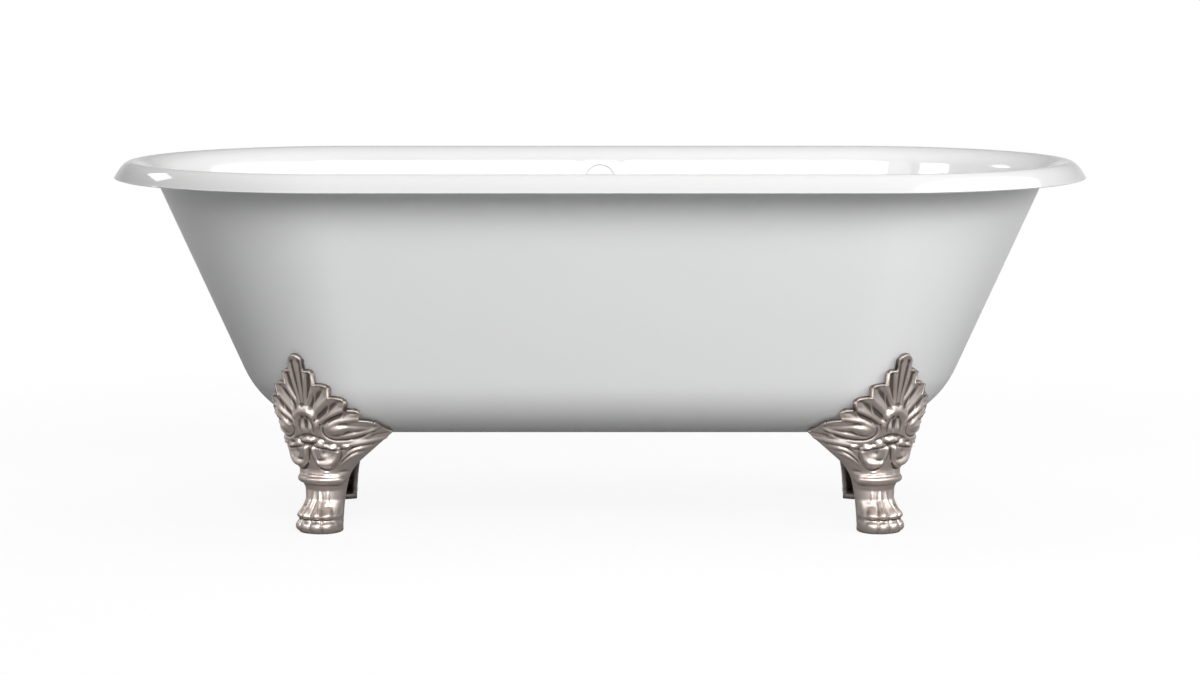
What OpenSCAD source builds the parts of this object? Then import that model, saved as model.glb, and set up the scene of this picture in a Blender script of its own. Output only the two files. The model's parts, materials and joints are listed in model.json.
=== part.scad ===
// Double-ended cast iron bath with a rolled rim, on four lion's-paw feet.
// Millimetres, +Z up. The origin is on the room's floor under the middle of the bath,
// X runs along the bath and Y across it. The overflow is on the +Y side.

/* [Bath] */
// Overall length over the rolled rim
bath_length = 1700; // [1560:10:1800]
// Overall width over the rolled rim
bath_width = 775; // [735:5:830]
// Height of the rim's crest above the floor
bath_height = 631; // [600:1:670]
// Height of the bath's underside above the floor
ground_clearance = 168; // [155:1:185]
// Thickness of the iron wall
wall = 7.5; // [6.5:0.5:9]
// Lean of the two end walls, from upright, in degrees
end_lean = 24.2; // [20:0.1:27]
// Lean of the two side walls, from upright, in degrees
side_lean = 12; // [8:0.5:15]
// Radius where the end walls turn into the floor
end_fillet = 167; // [140:1:185]
// Radius where the side walls turn into the floor
side_fillet = 120; // [95:1:135]
// Length of each round end of the rim
round_at_rim = 382; // [350:2:420]
// Length of each round end of the flat floor
round_at_floor = 74.8; // [60:0.2:100]
// Fullness of the round ends, where 2 is an ellipse
end_fullness = 1.92; // [1.8:0.02:2.3]

/* [Rim] */
// Reach of the rim past the end walls
end_overhang = 77.5; // [66:0.5:90]
// Reach of the rim past the side walls
side_overhang = 73; // [64:0.5:84]
// Distance from the rim's outer edge in to its crest
crest_inset = 31; // [26:0.5:36]
// Drop from the crest to the rim's outer edge
lip_drop = 29; // [25:0.5:33]
// Depth of the roll, from the crest to where the inner wall runs straight
roll_depth = 28; // [25:0.5:29.5]
// Thickness of the iron in the rolled rim
roll_wall = 8.5; // [7.5:0.5:10]

/* [Overflow and waste] */
// Diameter of the overflow hole
overflow_hole = 53; // [45:0.5:60]
// Drop from the crest to the middle of the overflow hole
overflow_drop = 58; // [58:1:75]
// Diameter of the waste hole
waste_hole = 52; // [40:0.5:60]
// Diameter of the shallow seat round the waste hole
waste_seat = 78; // [70:1:90]
// Depth of the seat round the waste hole
waste_seat_depth = 2.5; // [1.5:0.5:3]
// Height of the thickened ring under the waste hole
waste_boss = 6; // [4:0.5:10]

/* [Feet] */
// Direction each foot faces, from the bath's side towards its end, in degrees
foot_turn = 25; // [15:1:35]
// Distance of a foot's upright axis in from the end of the flat floor
foot_inset_x = 15; // [5:1:30]
// Distance of a foot's upright axis in from the side of the flat floor
foot_inset_y = 11; // [3:1:20]
// Height of the palmette's top leaf above the bath's underside
leaf_rise = 152; // [130:1:160]
// Height of the wing tips' seats above the bath's underside
wing_rise = 19; // [14:1:24]
// Half spread of the palmette round the foot's axis, in degrees
wing_spread = 79; // [70:1:82]
// Number of side leaves on each half of the palmette
leaf_count = 5; // [4:1:6]
// Half width of the top leaf, in degrees
top_leaf_half = 4.6; // [3.5:0.1:6]
// Distance from the bath's wall to the face of the palmette
leaf_stand = 11; // [10.5:0.5:14]
// Thickness of the foot casting
foot_wall = 8; // [6.5:0.5:8.5]
// Depth of the hollows between the leaves
flute_depth = 2.4; // [1:0.2:3]
// Depth from the foot's open back to its upright axis
back_depth = 31; // [28:1:34]
// Height of the scroll above the leaf's root
ruffle_height = 34; // [28:1:40]
// How far the scroll stands out
ruffle_stand = 5; // [2:0.5:7]
// Thickness of the paw's sole
sole = 9.6; // [8:0.2:11]

/* [Foot fixing] */
// Distance of the fixing stud in front of the foot's upright axis
fixing_reach = 45; // [43:1:48]
// Diameter of the fixing stud
fixing_d = 10; // [8:1:12]
// Diameter of the cast pad that each foot is drawn up to
pad_d = 30; // [26:1:34]
// Distance from the bath's underside down to the face of the pad
pad_drop = 16; // [12:1:20]
// Thickness of the shelf inside the foot
shelf = 12; // [10:0.5:14]
// Half width of the shelf inside the foot
shelf_half = 30; // [26:1:33]
// Thickness of the flat washer
washer_t = 2; // [1.5:0.1:3]
// Thickness of the spring washer
spring_washer_t = 2.5; // [2:0.1:3]
// Thickness of the fixing nut
nut_t = 8; // [6:0.5:10]
// Thread left below the fixing nut
stud_tail = 5; // [3:0.5:10]
// Depth of the tapped hole in the pad
tap_depth = 15; // [12:0.5:17]

/* [Levelling glide] */
// Distance of the levelling screw in front of the foot's upright axis
glide_reach = 52; // [50:1:54]
// Diameter of the levelling screw
level_d = 9.8; // [8:0.2:11]
// Diameter of the glide
glide_d = 24; // [20:1:26]
// Thickness of the glide's disc
glide_t = 4; // [3:0.5:4.5]
// Height of the glide's hub above its disc
glide_hub = 4; // [3:0.5:4.5]
// Gap between the glide and the floor with the screw run in
glide_lift = 1; // [0.5:0.1:1.5]
// Height of the tapped boss above the sole
level_boss = 14.4; // [12:0.2:18]
// Diameter of the tapped boss
level_boss_d = 34; // [32:1:36]
// Thickness of the lock nut
lock_nut_t = 6; // [5:0.5:8]
// Length of levelling screw above the lock nut
level_tail = 22; // [16:1:30]
// Length of the spanner hexagon on the levelling screw
level_hex = 8; // [6:0.5:10]

/* [Hidden] */
// Radial clearance of a thread or a turning fit
fit = 0.08;
// Clearance round a stud that only passes through
pass = 0.5;
// Radial clearance of the glide in its recess
glide_gap = 2;
// Play between faces that turn against each other
play = 0.3;
// Across-flats size of a nut per millimetre of its thread
nut_ratio = 1.7;
half_l = bath_length / 2;
half_w = bath_width / 2;
under_z = ground_clearance;
floor_z = under_z + wall;
// Height where the straight inner and outer walls end under the rim
roll_shoulder = 13;
inner_top = bath_height - roll_depth;
wall_top = inner_top - roll_shoulder;
end_top = half_l - end_overhang;
side_top = half_w - side_overhang;
end_turn_z = under_z + end_fillet * (1 - cos(90 - end_lean));
side_turn_z = under_z + side_fillet * (1 - cos(90 - side_lean));
floor_half_l = end_top - (wall_top - end_turn_z) * tan(end_lean) - end_fillet * sin(90 - end_lean);
floor_half_w = side_top - (wall_top - side_turn_z) * tan(side_lean) - side_fillet * sin(90 - side_lean);
// Half length of the straight stretch of each side, at the rim and at the floor
straight_at_rim = half_l - round_at_rim;
straight_at_floor = floor_half_l - round_at_floor;

// Half length or half width of the bath at height z. inset is 0 for the outside of the wall
// and the wall's thickness for its inside. Each side is a straight line that leans, and a round
// that meets it and the flat floor.
function half_at(z, inset, flat, fillet, lean) =
    let (r = fillet - inset, c = under_z + fillet, turn = c - r * cos(90 - lean))
    z < turn ? flat + sqrt(max(0, r * r - (c - z) * (c - z)))
             : flat + r * sin(90 - lean) + (z - turn) * tan(lean);
function end_at(z, inset) = half_at(z, inset, floor_half_l, end_fillet, end_lean);
function side_at(z, inset) = half_at(z, inset, floor_half_w, side_fillet, side_lean);
function straight_at(z) = straight_at_floor
    + (straight_at_rim - straight_at_floor) * (z - under_z) / (bath_height - under_z);

// Plan outline: two straight sides and two round ends whose fullness is an exponent
cap_steps = 24;
bend = 2 / end_fullness;
function cap_point(a, b, s, q) = [s + (a - s) * pow(max(0, cos(q)), bend),
    b * sign(sin(q)) * pow(abs(sin(q)), bend)];
function plan(a, b, s) = concat(
    [for (i = [0 : cap_steps]) cap_point(a, b, s, -90 + 180 * i / cap_steps)],
    [for (i = [0 : cap_steps]) let (p = cap_point(a, b, s, 90 - 180 * i / cap_steps)) [-p[0], p[1]]]);
function ring_at(a, b, z) = [for (p = plan(a, b, straight_at(z))) [p[0], p[1], z]];
function wall_ring(z, inset) = ring_at(end_at(z, inset), side_at(z, inset), z);
function rim_ring(out_end, out_side, z) = ring_at(half_l + out_end, half_w + out_side, z);
function bezier(p, t) = let (u = 1 - t)
    u * u * u * p[0] + 3 * u * u * t * p[1] + 3 * u * t * t * p[2] + t * t * t * p[3];

// The rolled rim as rows of [reach at the ends, reach at the sides, height]. The roll leaves the
// wall in line with it and reaches the crest level, and the two pulls set how round it is.
roll_pull = 17;
crest_pull = 19;
in_wall_end = end_at(inner_top, wall) - half_l;
in_wall_side = side_at(inner_top, wall) - half_w;
function roll(end_reach, side_reach, low, high) = [[end_reach, side_reach, low],
    [end_reach + roll_pull * tan(end_lean), side_reach + roll_pull * tan(side_lean), low + roll_pull],
    [-crest_inset - crest_pull, -crest_inset - crest_pull, high],
    [-crest_inset, -crest_inset, high]];
under_crest = bath_height - roll_wall;
inner_roll = roll(in_wall_end, in_wall_side, inner_top, bath_height);
outer_roll = roll(-end_overhang, -side_overhang, wall_top, under_crest);
// Outside the crest the rim curls down to a lip, whose lower edge has a small round
lip_z = bath_height - lip_drop;
lip_in = -roll_wall * 0.9;
lip_edge = [[lip_in, 1], [lip_in + 2, -0.6], [-1.6, -0.9]];
function flare(t) = [-crest_inset * (1 - t), -crest_inset * (1 - t), bath_height - lip_drop * t * t];
function under_flare(q) = let (o = -crest_inset + (crest_inset + lip_in) * sin(q),
    z = lip_z + (under_crest - lip_z) * cos(q)) [o, o, z];

// Rows of the skin: the outside from the floor up to the crest, and the inside down again
fillet_steps = 8;
function fillet_z(i, inset) = under_z + end_fillet
    - (end_fillet - inset) * cos((90 - end_lean) * i / fillet_steps);
in_turn_z = fillet_z(fillet_steps, wall);
outer_rings = concat(
    [for (i = [0 : fillet_steps]) wall_ring(fillet_z(i, 0), 0)],
    [for (f = [0.35, 0.7]) wall_ring(end_turn_z + (wall_top - end_turn_z) * f, 0)],
    [for (t = [0 : 0.2 : 1]) let (p = bezier(outer_roll, t)) rim_ring(p[0], p[1], p[2])],
    [for (q = [25, 50, 75]) let (p = under_flare(q)) rim_ring(p[0], p[1], p[2])],
    [for (p = lip_edge) rim_ring(p[0], p[0], lip_z + p[1])],
    [for (t = [1, 0.9, 0.75, 0.6, 0.4, 0.2]) let (p = flare(t)) rim_ring(p[0], p[1], p[2])]);
inner_rings = concat(
    [for (t = [1 : -0.2 : -0.01]) let (p = bezier(inner_roll, t)) rim_ring(p[0], p[1], p[2])],
    [for (f = [0.65, 0.3]) wall_ring(in_turn_z + (inner_top - in_turn_z) * f, wall)],
    [for (i = [fillet_steps : -1 : 0]) wall_ring(fillet_z(i, wall), wall)]);

// A closed skin from rings of equal count, each end closed by a flat face
module skin(rings) {
    n = len(rings[0]);
    m = len(rings);
    points = [for (r = rings) for (p = r) p];
    sides = [for (i = [0 : m - 2]) for (j = [0 : n - 1]) let (k = (j + 1) % n)
        each [[i * n + j, (i + 1) * n + j, (i + 1) * n + k], [i * n + j, (i + 1) * n + k, i * n + k]]];
    polyhedron(points, concat([[for (j = [0 : n - 1]) j]], sides,
        [[for (j = [n - 1 : -1 : 0]) (m - 1) * n + j]]), convexity = 12);
}

// Place of a foot's upright axis, and the two level directions of the foot: out and across
axis_x = floor_half_l - foot_inset_x;
axis_y = floor_half_w - foot_inset_y;
function out_dir(a) = [sin(foot_turn + a), cos(foot_turn + a)];
function seat_xy(reach) = [axis_x + reach * sin(foot_turn), axis_y + reach * cos(foot_turn)];

// Shape value of the bath's wall at a level point: below 1 inside it and above 1 outside it
function wall_value(x, y, z) = let (a = end_at(z, 0), b = side_at(z, 0), s = straight_at(z))
    pow(max(0, (x - s) / (a - s)), end_fullness) + pow(abs(y) / b, end_fullness);
// Distance from the foot's axis to the wall in direction a at height z, by halving a bracket
function reach_to_wall(a, z, low = 0, high = 320, steps = 18) =
    let (mid = (low + high) / 2, d = out_dir(a))
    steps == 0 ? mid
    : wall_value(axis_x + mid * d[0], axis_y + mid * d[1], z) < 1
        ? reach_to_wall(a, z, mid, high, steps - 1) : reach_to_wall(a, z, low, mid, steps - 1);
function wall_point(a, z) = let (r = reach_to_wall(a, z), d = out_dir(a))
    [axis_x + r * d[0], axis_y + r * d[1], z];
function unit(v) = v / norm(v);
// Outward direction of the bath's wall, square to the wall across and up
function wall_out(a, z) = unit(cross(wall_point(a, z + 2) - wall_point(a, z - 2),
    wall_point(a + 1, z) - wall_point(a - 1, z)));

// The leg, as stations from the sole up: [share of the leg's height, reach of the front,
// half width of the open back, fullness of the section]
stations = [[0, 88, 30, 2.3], [0.07, 93, 32, 2.5], [0.13, 92, 33, 2.5], [0.18, 87, 33, 2.3],
    [0.25, 91, 34, 2.3], [0.35, 79, 35, 1.9], [0.46, 68, 36.5, 1.6], [0.6, 65, 39.5, 1.6],
    [0.71, 73, 43, 1.6], [0.77, 81, 45, 1.7], [0.83, 74, 48, 1.7], [0.92, 73, 55, 1.7],
    [1, 79, 63.5, 1.7]];
station_front = [for (s = stations) [s[0], s[1]]];
station_back = [for (s = stations) [s[0], s[2]]];
station_full = [for (s = stations) [s[0], s[3]]];
// Drop from the bath's underside to the top of the leg, where the palmette starts
leg_drop = 47;
leg_top = under_z - leg_drop;
// Point of the leg's face. u runs from -1 to 1 across it and h from 0 to 1 up it.
function leg_point(u, h) = let (front = lookup(h, station_front), side = lookup(h, station_back),
    back = norm([side, back_depth]), r = front - (front - back) * pow(abs(u), lookup(h, station_full)),
    d = out_dir(u * atan2(side, back_depth)))
    [axis_x + r * d[0], axis_y + r * d[1], leg_top * h];
// The side leaves share the palmette's spread, apart from the plain wing tip past the last of them
wing_tip = 16;
leaf_step = (wing_spread - wing_tip) / leaf_count;
// Height of the palmette's rim on the bath's wall, falling from the top leaf to the wing tips
rim_fall = 1.25;
function leaf_z(u) = under_z + wing_rise + (leaf_rise - wing_rise) * pow(1 - abs(u), rim_fall);
function leaf_edge(u) = let (a = u * wing_spread, z = leaf_z(u)) wall_point(a, z) + leaf_stand * wall_out(a, z);
// A seam is one column of the palmette: [share across, its point at the leg, its point on the wall]
function seam(a) = let (u = a / wing_spread) [u, leg_point(u, 1), leaf_edge(u)];
// Point of the palmette's face. t runs from 0 at the leg to 1 at the smooth rim of the leaves,
// where the hollows between the leaves are deepest.
scroll_width = 9;
function palm_point(m, t) = let (u = m[0], low = m[1], top = m[2], leaf = abs(u) * wing_spread / leaf_step,
    swell = ruffle_stand * exp(-pow((t * norm(top - low) - ruffle_height) / scroll_width, 2)) * (1 - abs(u)),
    flute = flute_depth * t * sin(180 * min(1, leaf)) * abs(sin(90 + 180 * leaf)),
    d = out_dir(u * wing_spread))
    low + (top - low) * t + (swell - flute) * [d[0], d[1], 0];
// The stepped edge: each leaf's rim is level with its own tip, so it stops short of the smooth rim
function step_share(a) = let (k = a <= top_leaf_half ? 0 : min(leaf_count + 1, ceil(a / leaf_step - 0.001)),
    tip = k > leaf_count ? wing_spread : k * leaf_step,
    z = k == 0 ? leaf_z(0) - a : k > leaf_count ? leaf_z(a / wing_spread) : leaf_z(tip / wing_spread))
    min(1, (z - leg_top) / (leaf_z(a / wing_spread) - leg_top));
// Columns across the foot, closer together where one leaf ends and the next begins
notch = 1.2;
half_columns = concat([0, top_leaf_half * 0.7, top_leaf_half, top_leaf_half + notch],
    [for (k = [1 : leaf_count]) each [(k - 0.45) * leaf_step, k * leaf_step, k * leaf_step + notch]],
    [(leaf_step * leaf_count + wing_spread) / 2, wing_spread]);
columns = concat([for (i = [len(half_columns) - 1 : -1 : 1]) -half_columns[i]], half_columns);
rows_up = [0.17, 0.34, 0.5, 0.67, 0.84, 1];
rows_leg = [0, 0.07, 0.13, 0.18, 0.25, 0.35, 0.46, 0.6, 0.71, 0.77, 0.83, 0.92, 1];
function face_point(m, v) = v <= 1 ? leg_point(m[0], v) : palm_point(m, v - 1);
// The seam itself, and three beside it that give the face's outward direction
nudge = 1.5;
function seams(a) = let (b = max(nudge - wing_spread, min(wing_spread - nudge, a)))
    [seam(a), seam(b - nudge), seam(b), seam(b + nudge)];
function face_out(m, v) = let (dv = 0.02, w = max(dv, v))
    unit(cross(face_point(m[2], w + dv) - face_point(m[2], w - dv), face_point(m[3], w) - face_point(m[1], w)));
function row_values(a) = concat(rows_leg, [for (f = rows_up) 1 + f * step_share(abs(a))]);

// The foot's casting: a face, a back one wall behind it, and the edge between them
module foot_skin() {
    n = len(columns);
    m = len(rows_leg) + len(rows_up);
    all_seams = [for (a = columns) seams(a)];
    front = [for (i = [0 : n - 1]) [for (v = row_values(columns[i])) face_point(all_seams[i][0], v)]];
    back = [for (i = [0 : n - 1]) [for (v = row_values(columns[i])) let (w = face_out(all_seams[i], v))
        face_point(all_seams[i][0], v) - foot_wall * unit([w[0], w[1], v < 0.05 ? 0 : w[2]])]];
    points = concat([for (c = front) each c], [for (c = back) each c]);
    b = n * m;
    faces = [for (i = [0 : n - 2]) for (j = [0 : m - 2]) let (p = i * m + j, q = p + m)
        each [[p, q + 1, p + 1], [p, q, q + 1], [b + p, b + p + 1, b + q + 1], [b + p, b + q + 1, b + q]]];
    ends = [for (j = [0 : m - 2]) let (p = j, q = (n - 1) * m + j)
        each [[p, b + p + 1, b + p], [p, p + 1, b + p + 1], [q, b + q + 1, q + 1], [q, b + q, b + q + 1]]];
    rims = [for (i = [0 : n - 2]) let (p = i * m, q = p + m, s = p + m - 1, t = s + m)
        each [[p, b + q, q], [p, b + p, b + q], [s, b + t, b + s], [s, t, b + t]]];
    polyhedron(points, concat(faces, ends, rims), convexity = 12);
}

// Level outline inside the foot's face at share h of the leg or palmette, closed straight at the back
function inside_outline(v, inset, half_angle) = [for (i = [-6 : 6]) let (m = seams(half_angle * i / 6),
    p = face_point(m[0], v), w = face_out(m, v), f = unit([w[0], w[1]]))
    [p[0] - inset * f[0], p[1] - inset * f[1]]];

// Heights and radii of the fixing. The washers and the nut hang under the shelf in this order.
pad_z = under_z - pad_drop;
shelf_z = pad_z - shelf;
flat_washer_z = shelf_z - washer_t;
spring_washer_z = flat_washer_z - spring_washer_t;
fixing_nut_z = spring_washer_z - nut_t;
fixing_at = seat_xy(fixing_reach);
fixing_r = fixing_d / 2;
washer_gap = 0.3;
flat_washer_r = fixing_d * 1.05;
spring_washer_r = fixing_d * 0.9;
// Heights and radii of the levelling screw and its glide
glide_at = seat_xy(glide_reach);
level_r = level_d / 2;
tip_r = level_r * 0.8;
hub_r = level_r * 1.5;
disc_z = glide_lift + glide_t;
hub_z = disc_z + glide_hub;
recess_z = hub_z + 1;
level_boss_z = sole + level_boss;
lock_nut_z = level_boss_z + lock_nut_t;
screw_top_z = lock_nut_z + level_tail;

module rod(at, r, low, high) { translate([at[0], at[1], low]) cylinder(h = high - low, r = r, $fn = 48); }
module hex(at, flats, low, high) {
    translate([at[0], at[1], low]) rotate(foot_turn) cylinder(h = high - low, d = flats / cos(30), $fn = 6);
}

// One foot casting, in the corner where x and y are positive
module foot_casting() {
    shelf_share = 1 + (pad_z - shelf / 2 - leg_top) / (leaf_z(0) - leg_top);
    shelf_turn = 22;
    sole_share = 0.03;
    front = inside_outline(shelf_share, foot_wall / 2, shelf_turn);
    across = [cos(foot_turn), -sin(foot_turn)];
    back_at = seat_xy(back_depth - 3);
    difference() {
        union() {
            foot_skin();
            linear_extrude(height = sole) polygon(inside_outline(sole_share, foot_wall / 2, wing_spread));
            rod(glide_at, level_boss_d / 2, 0, level_boss_z);
            translate([0, 0, shelf_z]) linear_extrude(height = shelf)
                polygon(concat(front, [back_at + shelf_half * across, back_at - shelf_half * across]));
        }
        rod(fixing_at, fixing_r + pass, shelf_z - 1, pad_z + 1);
        rod(glide_at, glide_d / 2 + glide_gap, -1, recess_z);
        rod(glide_at, level_r + fit, 0, level_boss_z + 1);
    }
}

// The cast pad under the bath that the foot is drawn up to, cut off inside the bath's wall
module foot_pad() {
    z0 = pad_height(under_z + 1, under_z + side_fillet, 20);
    up = -wall_out(0, z0);
    difference() {
        rod(fixing_at, pad_d / 2, pad_z, z0 + pad_d);
        translate([fixing_at[0], fixing_at[1], z0]) multmatrix(frame_of(up))
            translate([-pad_d, -pad_d, wall / 2]) cube([2 * pad_d, 2 * pad_d, 2 * pad_d]);
    }
}
// Height at which the bath's wall passes over the stud, by halving a bracket
function pad_height(low, high, steps) = let (mid = (low + high) / 2)
    steps == 0 ? mid
    : wall_value(fixing_at[0], fixing_at[1], mid) > 1 ? pad_height(mid, high, steps - 1)
                                                     : pad_height(low, mid, steps - 1);
// Turns a shape so that its +Z points along up
function frame_of(up) = let (x = unit(cross([0, 1, 0], up)), y = cross(up, x))
    [[x[0], y[0], up[0], 0], [x[1], y[1], up[1], 0], [x[2], y[2], up[2], 0], [0, 0, 0, 1]];

module to_corner(sx, sy) { mirror([sx < 0 ? 1 : 0, 0, 0]) mirror([0, sy < 0 ? 1 : 0, 0]) children(); }

module bath_shell() {
    overflow_z = bath_height - overflow_drop;
    overflow_cut = 3 * wall;
    color("whitesmoke") difference() {
        union() {
            skin(concat(outer_rings, inner_rings));
            for (sx = [-1, 1], sy = [-1, 1]) to_corner(sx, sy) foot_pad();
            translate([0, 0, under_z - waste_boss]) cylinder(h = waste_boss + wall / 2, d = waste_seat, $fn = 64);
        }
        for (sx = [-1, 1], sy = [-1, 1]) to_corner(sx, sy) rod(fixing_at, fixing_r, pad_z - 1, pad_z + tap_depth);
        translate([0, 0, under_z - waste_boss - 1]) cylinder(h = waste_boss + wall + 2, d = waste_hole, $fn = 64);
        translate([0, 0, floor_z - waste_seat_depth]) cylinder(h = waste_seat_depth + 1, d = waste_seat, $fn = 64);
        translate([0, side_at(overflow_z, wall / 2), overflow_z]) rotate([-90 - side_lean, 0, 0])
            cylinder(h = overflow_cut, d = overflow_hole, center = true, $fn = 64);
    }
}
module foot(sx, sy) { color([0.52, 0.48, 0.46]) to_corner(sx, sy) foot_casting(); }
module fixing_stud(sx, sy) {
    color("silver") to_corner(sx, sy)
        rod(fixing_at, fixing_r - fit, fixing_nut_z - stud_tail, pad_z + tap_depth - play);
}
module ring_washer(low, thick, r) {
    difference() {
        rod(fixing_at, r, low, low + thick);
        rod(fixing_at, fixing_r + washer_gap, low - 1, low + thick + 1);
    }
}
module flat_washer(sx, sy) {
    color("silver") to_corner(sx, sy) ring_washer(flat_washer_z, washer_t, flat_washer_r);
}
module spring_washer(sx, sy) {
    split = 1.2;
    color("silver") to_corner(sx, sy) difference() {
        ring_washer(spring_washer_z, spring_washer_t, spring_washer_r);
        translate([fixing_at[0], fixing_at[1] - split / 2, spring_washer_z - 1])
            cube([fixing_d, split, spring_washer_t + 2]);
    }
}
module nut(at, r, low, thick) {
    difference() {
        hex(at, 2 * r * nut_ratio, low, low + thick);
        rod(at, r, low - 1, low + thick + 1);
    }
}
module fixing_nut(sx, sy) {
    color("silver") to_corner(sx, sy) nut(fixing_at, fixing_r, fixing_nut_z, nut_t);
}
module levelling_screw(sx, sy) {
    color("silver") to_corner(sx, sy) union() {
        rod(glide_at, tip_r - fit, disc_z - glide_t / 2 + play, hub_z + 1);
        rod(glide_at, level_r, hub_z + play, screw_top_z);
        hex(glide_at, level_d * 0.7, screw_top_z - 1, screw_top_z + level_hex);
    }
}
module levelling_lock_nut(sx, sy) {
    color("silver") to_corner(sx, sy) nut(glide_at, level_r + fit, level_boss_z, lock_nut_t);
}
module levelling_glide(sx, sy) {
    color([0.2, 0.2, 0.2]) to_corner(sx, sy) difference() {
        union() {
            rod(glide_at, glide_d / 2, glide_lift, disc_z);
            rod(glide_at, hub_r, disc_z - 1, hub_z);
        }
        rod(glide_at, tip_r, disc_z - glide_t / 2, hub_z + 1);
    }
}

bath_shell();
foot(-1, -1);  // foot_front_left
foot(1, -1);  // foot_front_right
foot(-1, 1);  // foot_back_left
foot(1, 1);  // foot_back_right
fixing_stud(-1, -1);  // fixing_stud_front_left
fixing_stud(1, -1);  // fixing_stud_front_right
fixing_stud(-1, 1);  // fixing_stud_back_left
fixing_stud(1, 1);  // fixing_stud_back_right
flat_washer(-1, -1);  // flat_washer_front_left
flat_washer(1, -1);  // flat_washer_front_right
flat_washer(-1, 1);  // flat_washer_back_left
flat_washer(1, 1);  // flat_washer_back_right
spring_washer(-1, -1);  // spring_washer_front_left
spring_washer(1, -1);  // spring_washer_front_right
spring_washer(-1, 1);  // spring_washer_back_left
spring_washer(1, 1);  // spring_washer_back_right
fixing_nut(-1, -1);  // fixing_nut_front_left
fixing_nut(1, -1);  // fixing_nut_front_right
fixing_nut(-1, 1);  // fixing_nut_back_left
fixing_nut(1, 1);  // fixing_nut_back_right
levelling_screw(-1, -1);  // levelling_screw_front_left
levelling_screw(1, -1);  // levelling_screw_front_right
levelling_screw(-1, 1);  // levelling_screw_back_left
levelling_screw(1, 1);  // levelling_screw_back_right
levelling_lock_nut(-1, -1);  // levelling_lock_nut_front_left
levelling_lock_nut(1, -1);  // levelling_lock_nut_front_right
levelling_lock_nut(-1, 1);  // levelling_lock_nut_back_left
levelling_lock_nut(1, 1);  // levelling_lock_nut_back_right
levelling_glide(-1, -1);  // levelling_glide_front_left
levelling_glide(1, -1);  // levelling_glide_front_right
levelling_glide(-1, 1);  // levelling_glide_back_left
levelling_glide(1, 1);  // levelling_glide_back_right
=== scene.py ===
"""Dresses a packed double-ended cast iron bath: the enamelled casting, its carved feet and their fixings."""
import json
import math

import bpy
import numpy as np
from bpy.props import FloatProperty, FloatVectorProperty, IntProperty, PointerProperty
from bpy.types import Operator, Panel, PropertyGroup
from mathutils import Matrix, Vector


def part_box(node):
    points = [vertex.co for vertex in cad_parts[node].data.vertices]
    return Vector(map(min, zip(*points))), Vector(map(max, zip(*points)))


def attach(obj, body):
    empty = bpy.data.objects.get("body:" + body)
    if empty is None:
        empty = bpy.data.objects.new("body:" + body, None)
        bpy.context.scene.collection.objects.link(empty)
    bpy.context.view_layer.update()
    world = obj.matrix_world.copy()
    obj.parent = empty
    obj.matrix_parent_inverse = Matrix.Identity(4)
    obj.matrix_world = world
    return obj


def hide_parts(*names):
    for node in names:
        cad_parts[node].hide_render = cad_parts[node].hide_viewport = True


bl_info = {
    "name": "Paw-Footed Bath",
    "version": (1, 0, 0),
    "blender": (4, 5, 0),
    "location": "3D View > Sidebar > Bath",
    "description": "Models a roll-top bath on carved feet around its packed construction",
    "category": "Add Mesh",
}

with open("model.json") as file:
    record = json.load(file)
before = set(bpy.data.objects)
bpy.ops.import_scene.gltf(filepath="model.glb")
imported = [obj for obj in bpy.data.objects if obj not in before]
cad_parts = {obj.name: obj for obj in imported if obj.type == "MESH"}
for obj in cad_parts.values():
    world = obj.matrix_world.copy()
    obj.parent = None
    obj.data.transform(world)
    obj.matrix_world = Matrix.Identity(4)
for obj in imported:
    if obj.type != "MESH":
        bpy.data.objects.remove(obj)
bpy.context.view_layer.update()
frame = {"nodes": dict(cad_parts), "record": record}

MM = 0.001
# Edges that turn by more than this are drawn sharp
SHARP_FROM = math.radians(50)
CORNERS = {"front_left": (-1, -1), "front_right": (1, -1), "back_left": (-1, 1), "back_right": (1, 1)}


def node_span(node):
    """Lowest and highest corner of a node of the frame, as arrays in metres."""
    return np.array(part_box(node)[0]), np.array(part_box(node)[1])


def node_middle(node):
    """The middle of a node of the frame."""
    low, high = node_span(node)
    return (low + high) / 2


def mount(name):
    """A mount of the record by its name."""
    return next(m for m in frame["record"]["mounts"] if m["name"] == name)


BATH_LOW, BATH_HIGH = node_span("bath_shell")
STUD_AT = node_middle("fixing_stud_back_right")[:2]
GLIDE_AT = node_middle("levelling_glide_back_right")[:2]
PAD_LOW = float(BATH_LOW[2])


# Settings that a user would change

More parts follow.
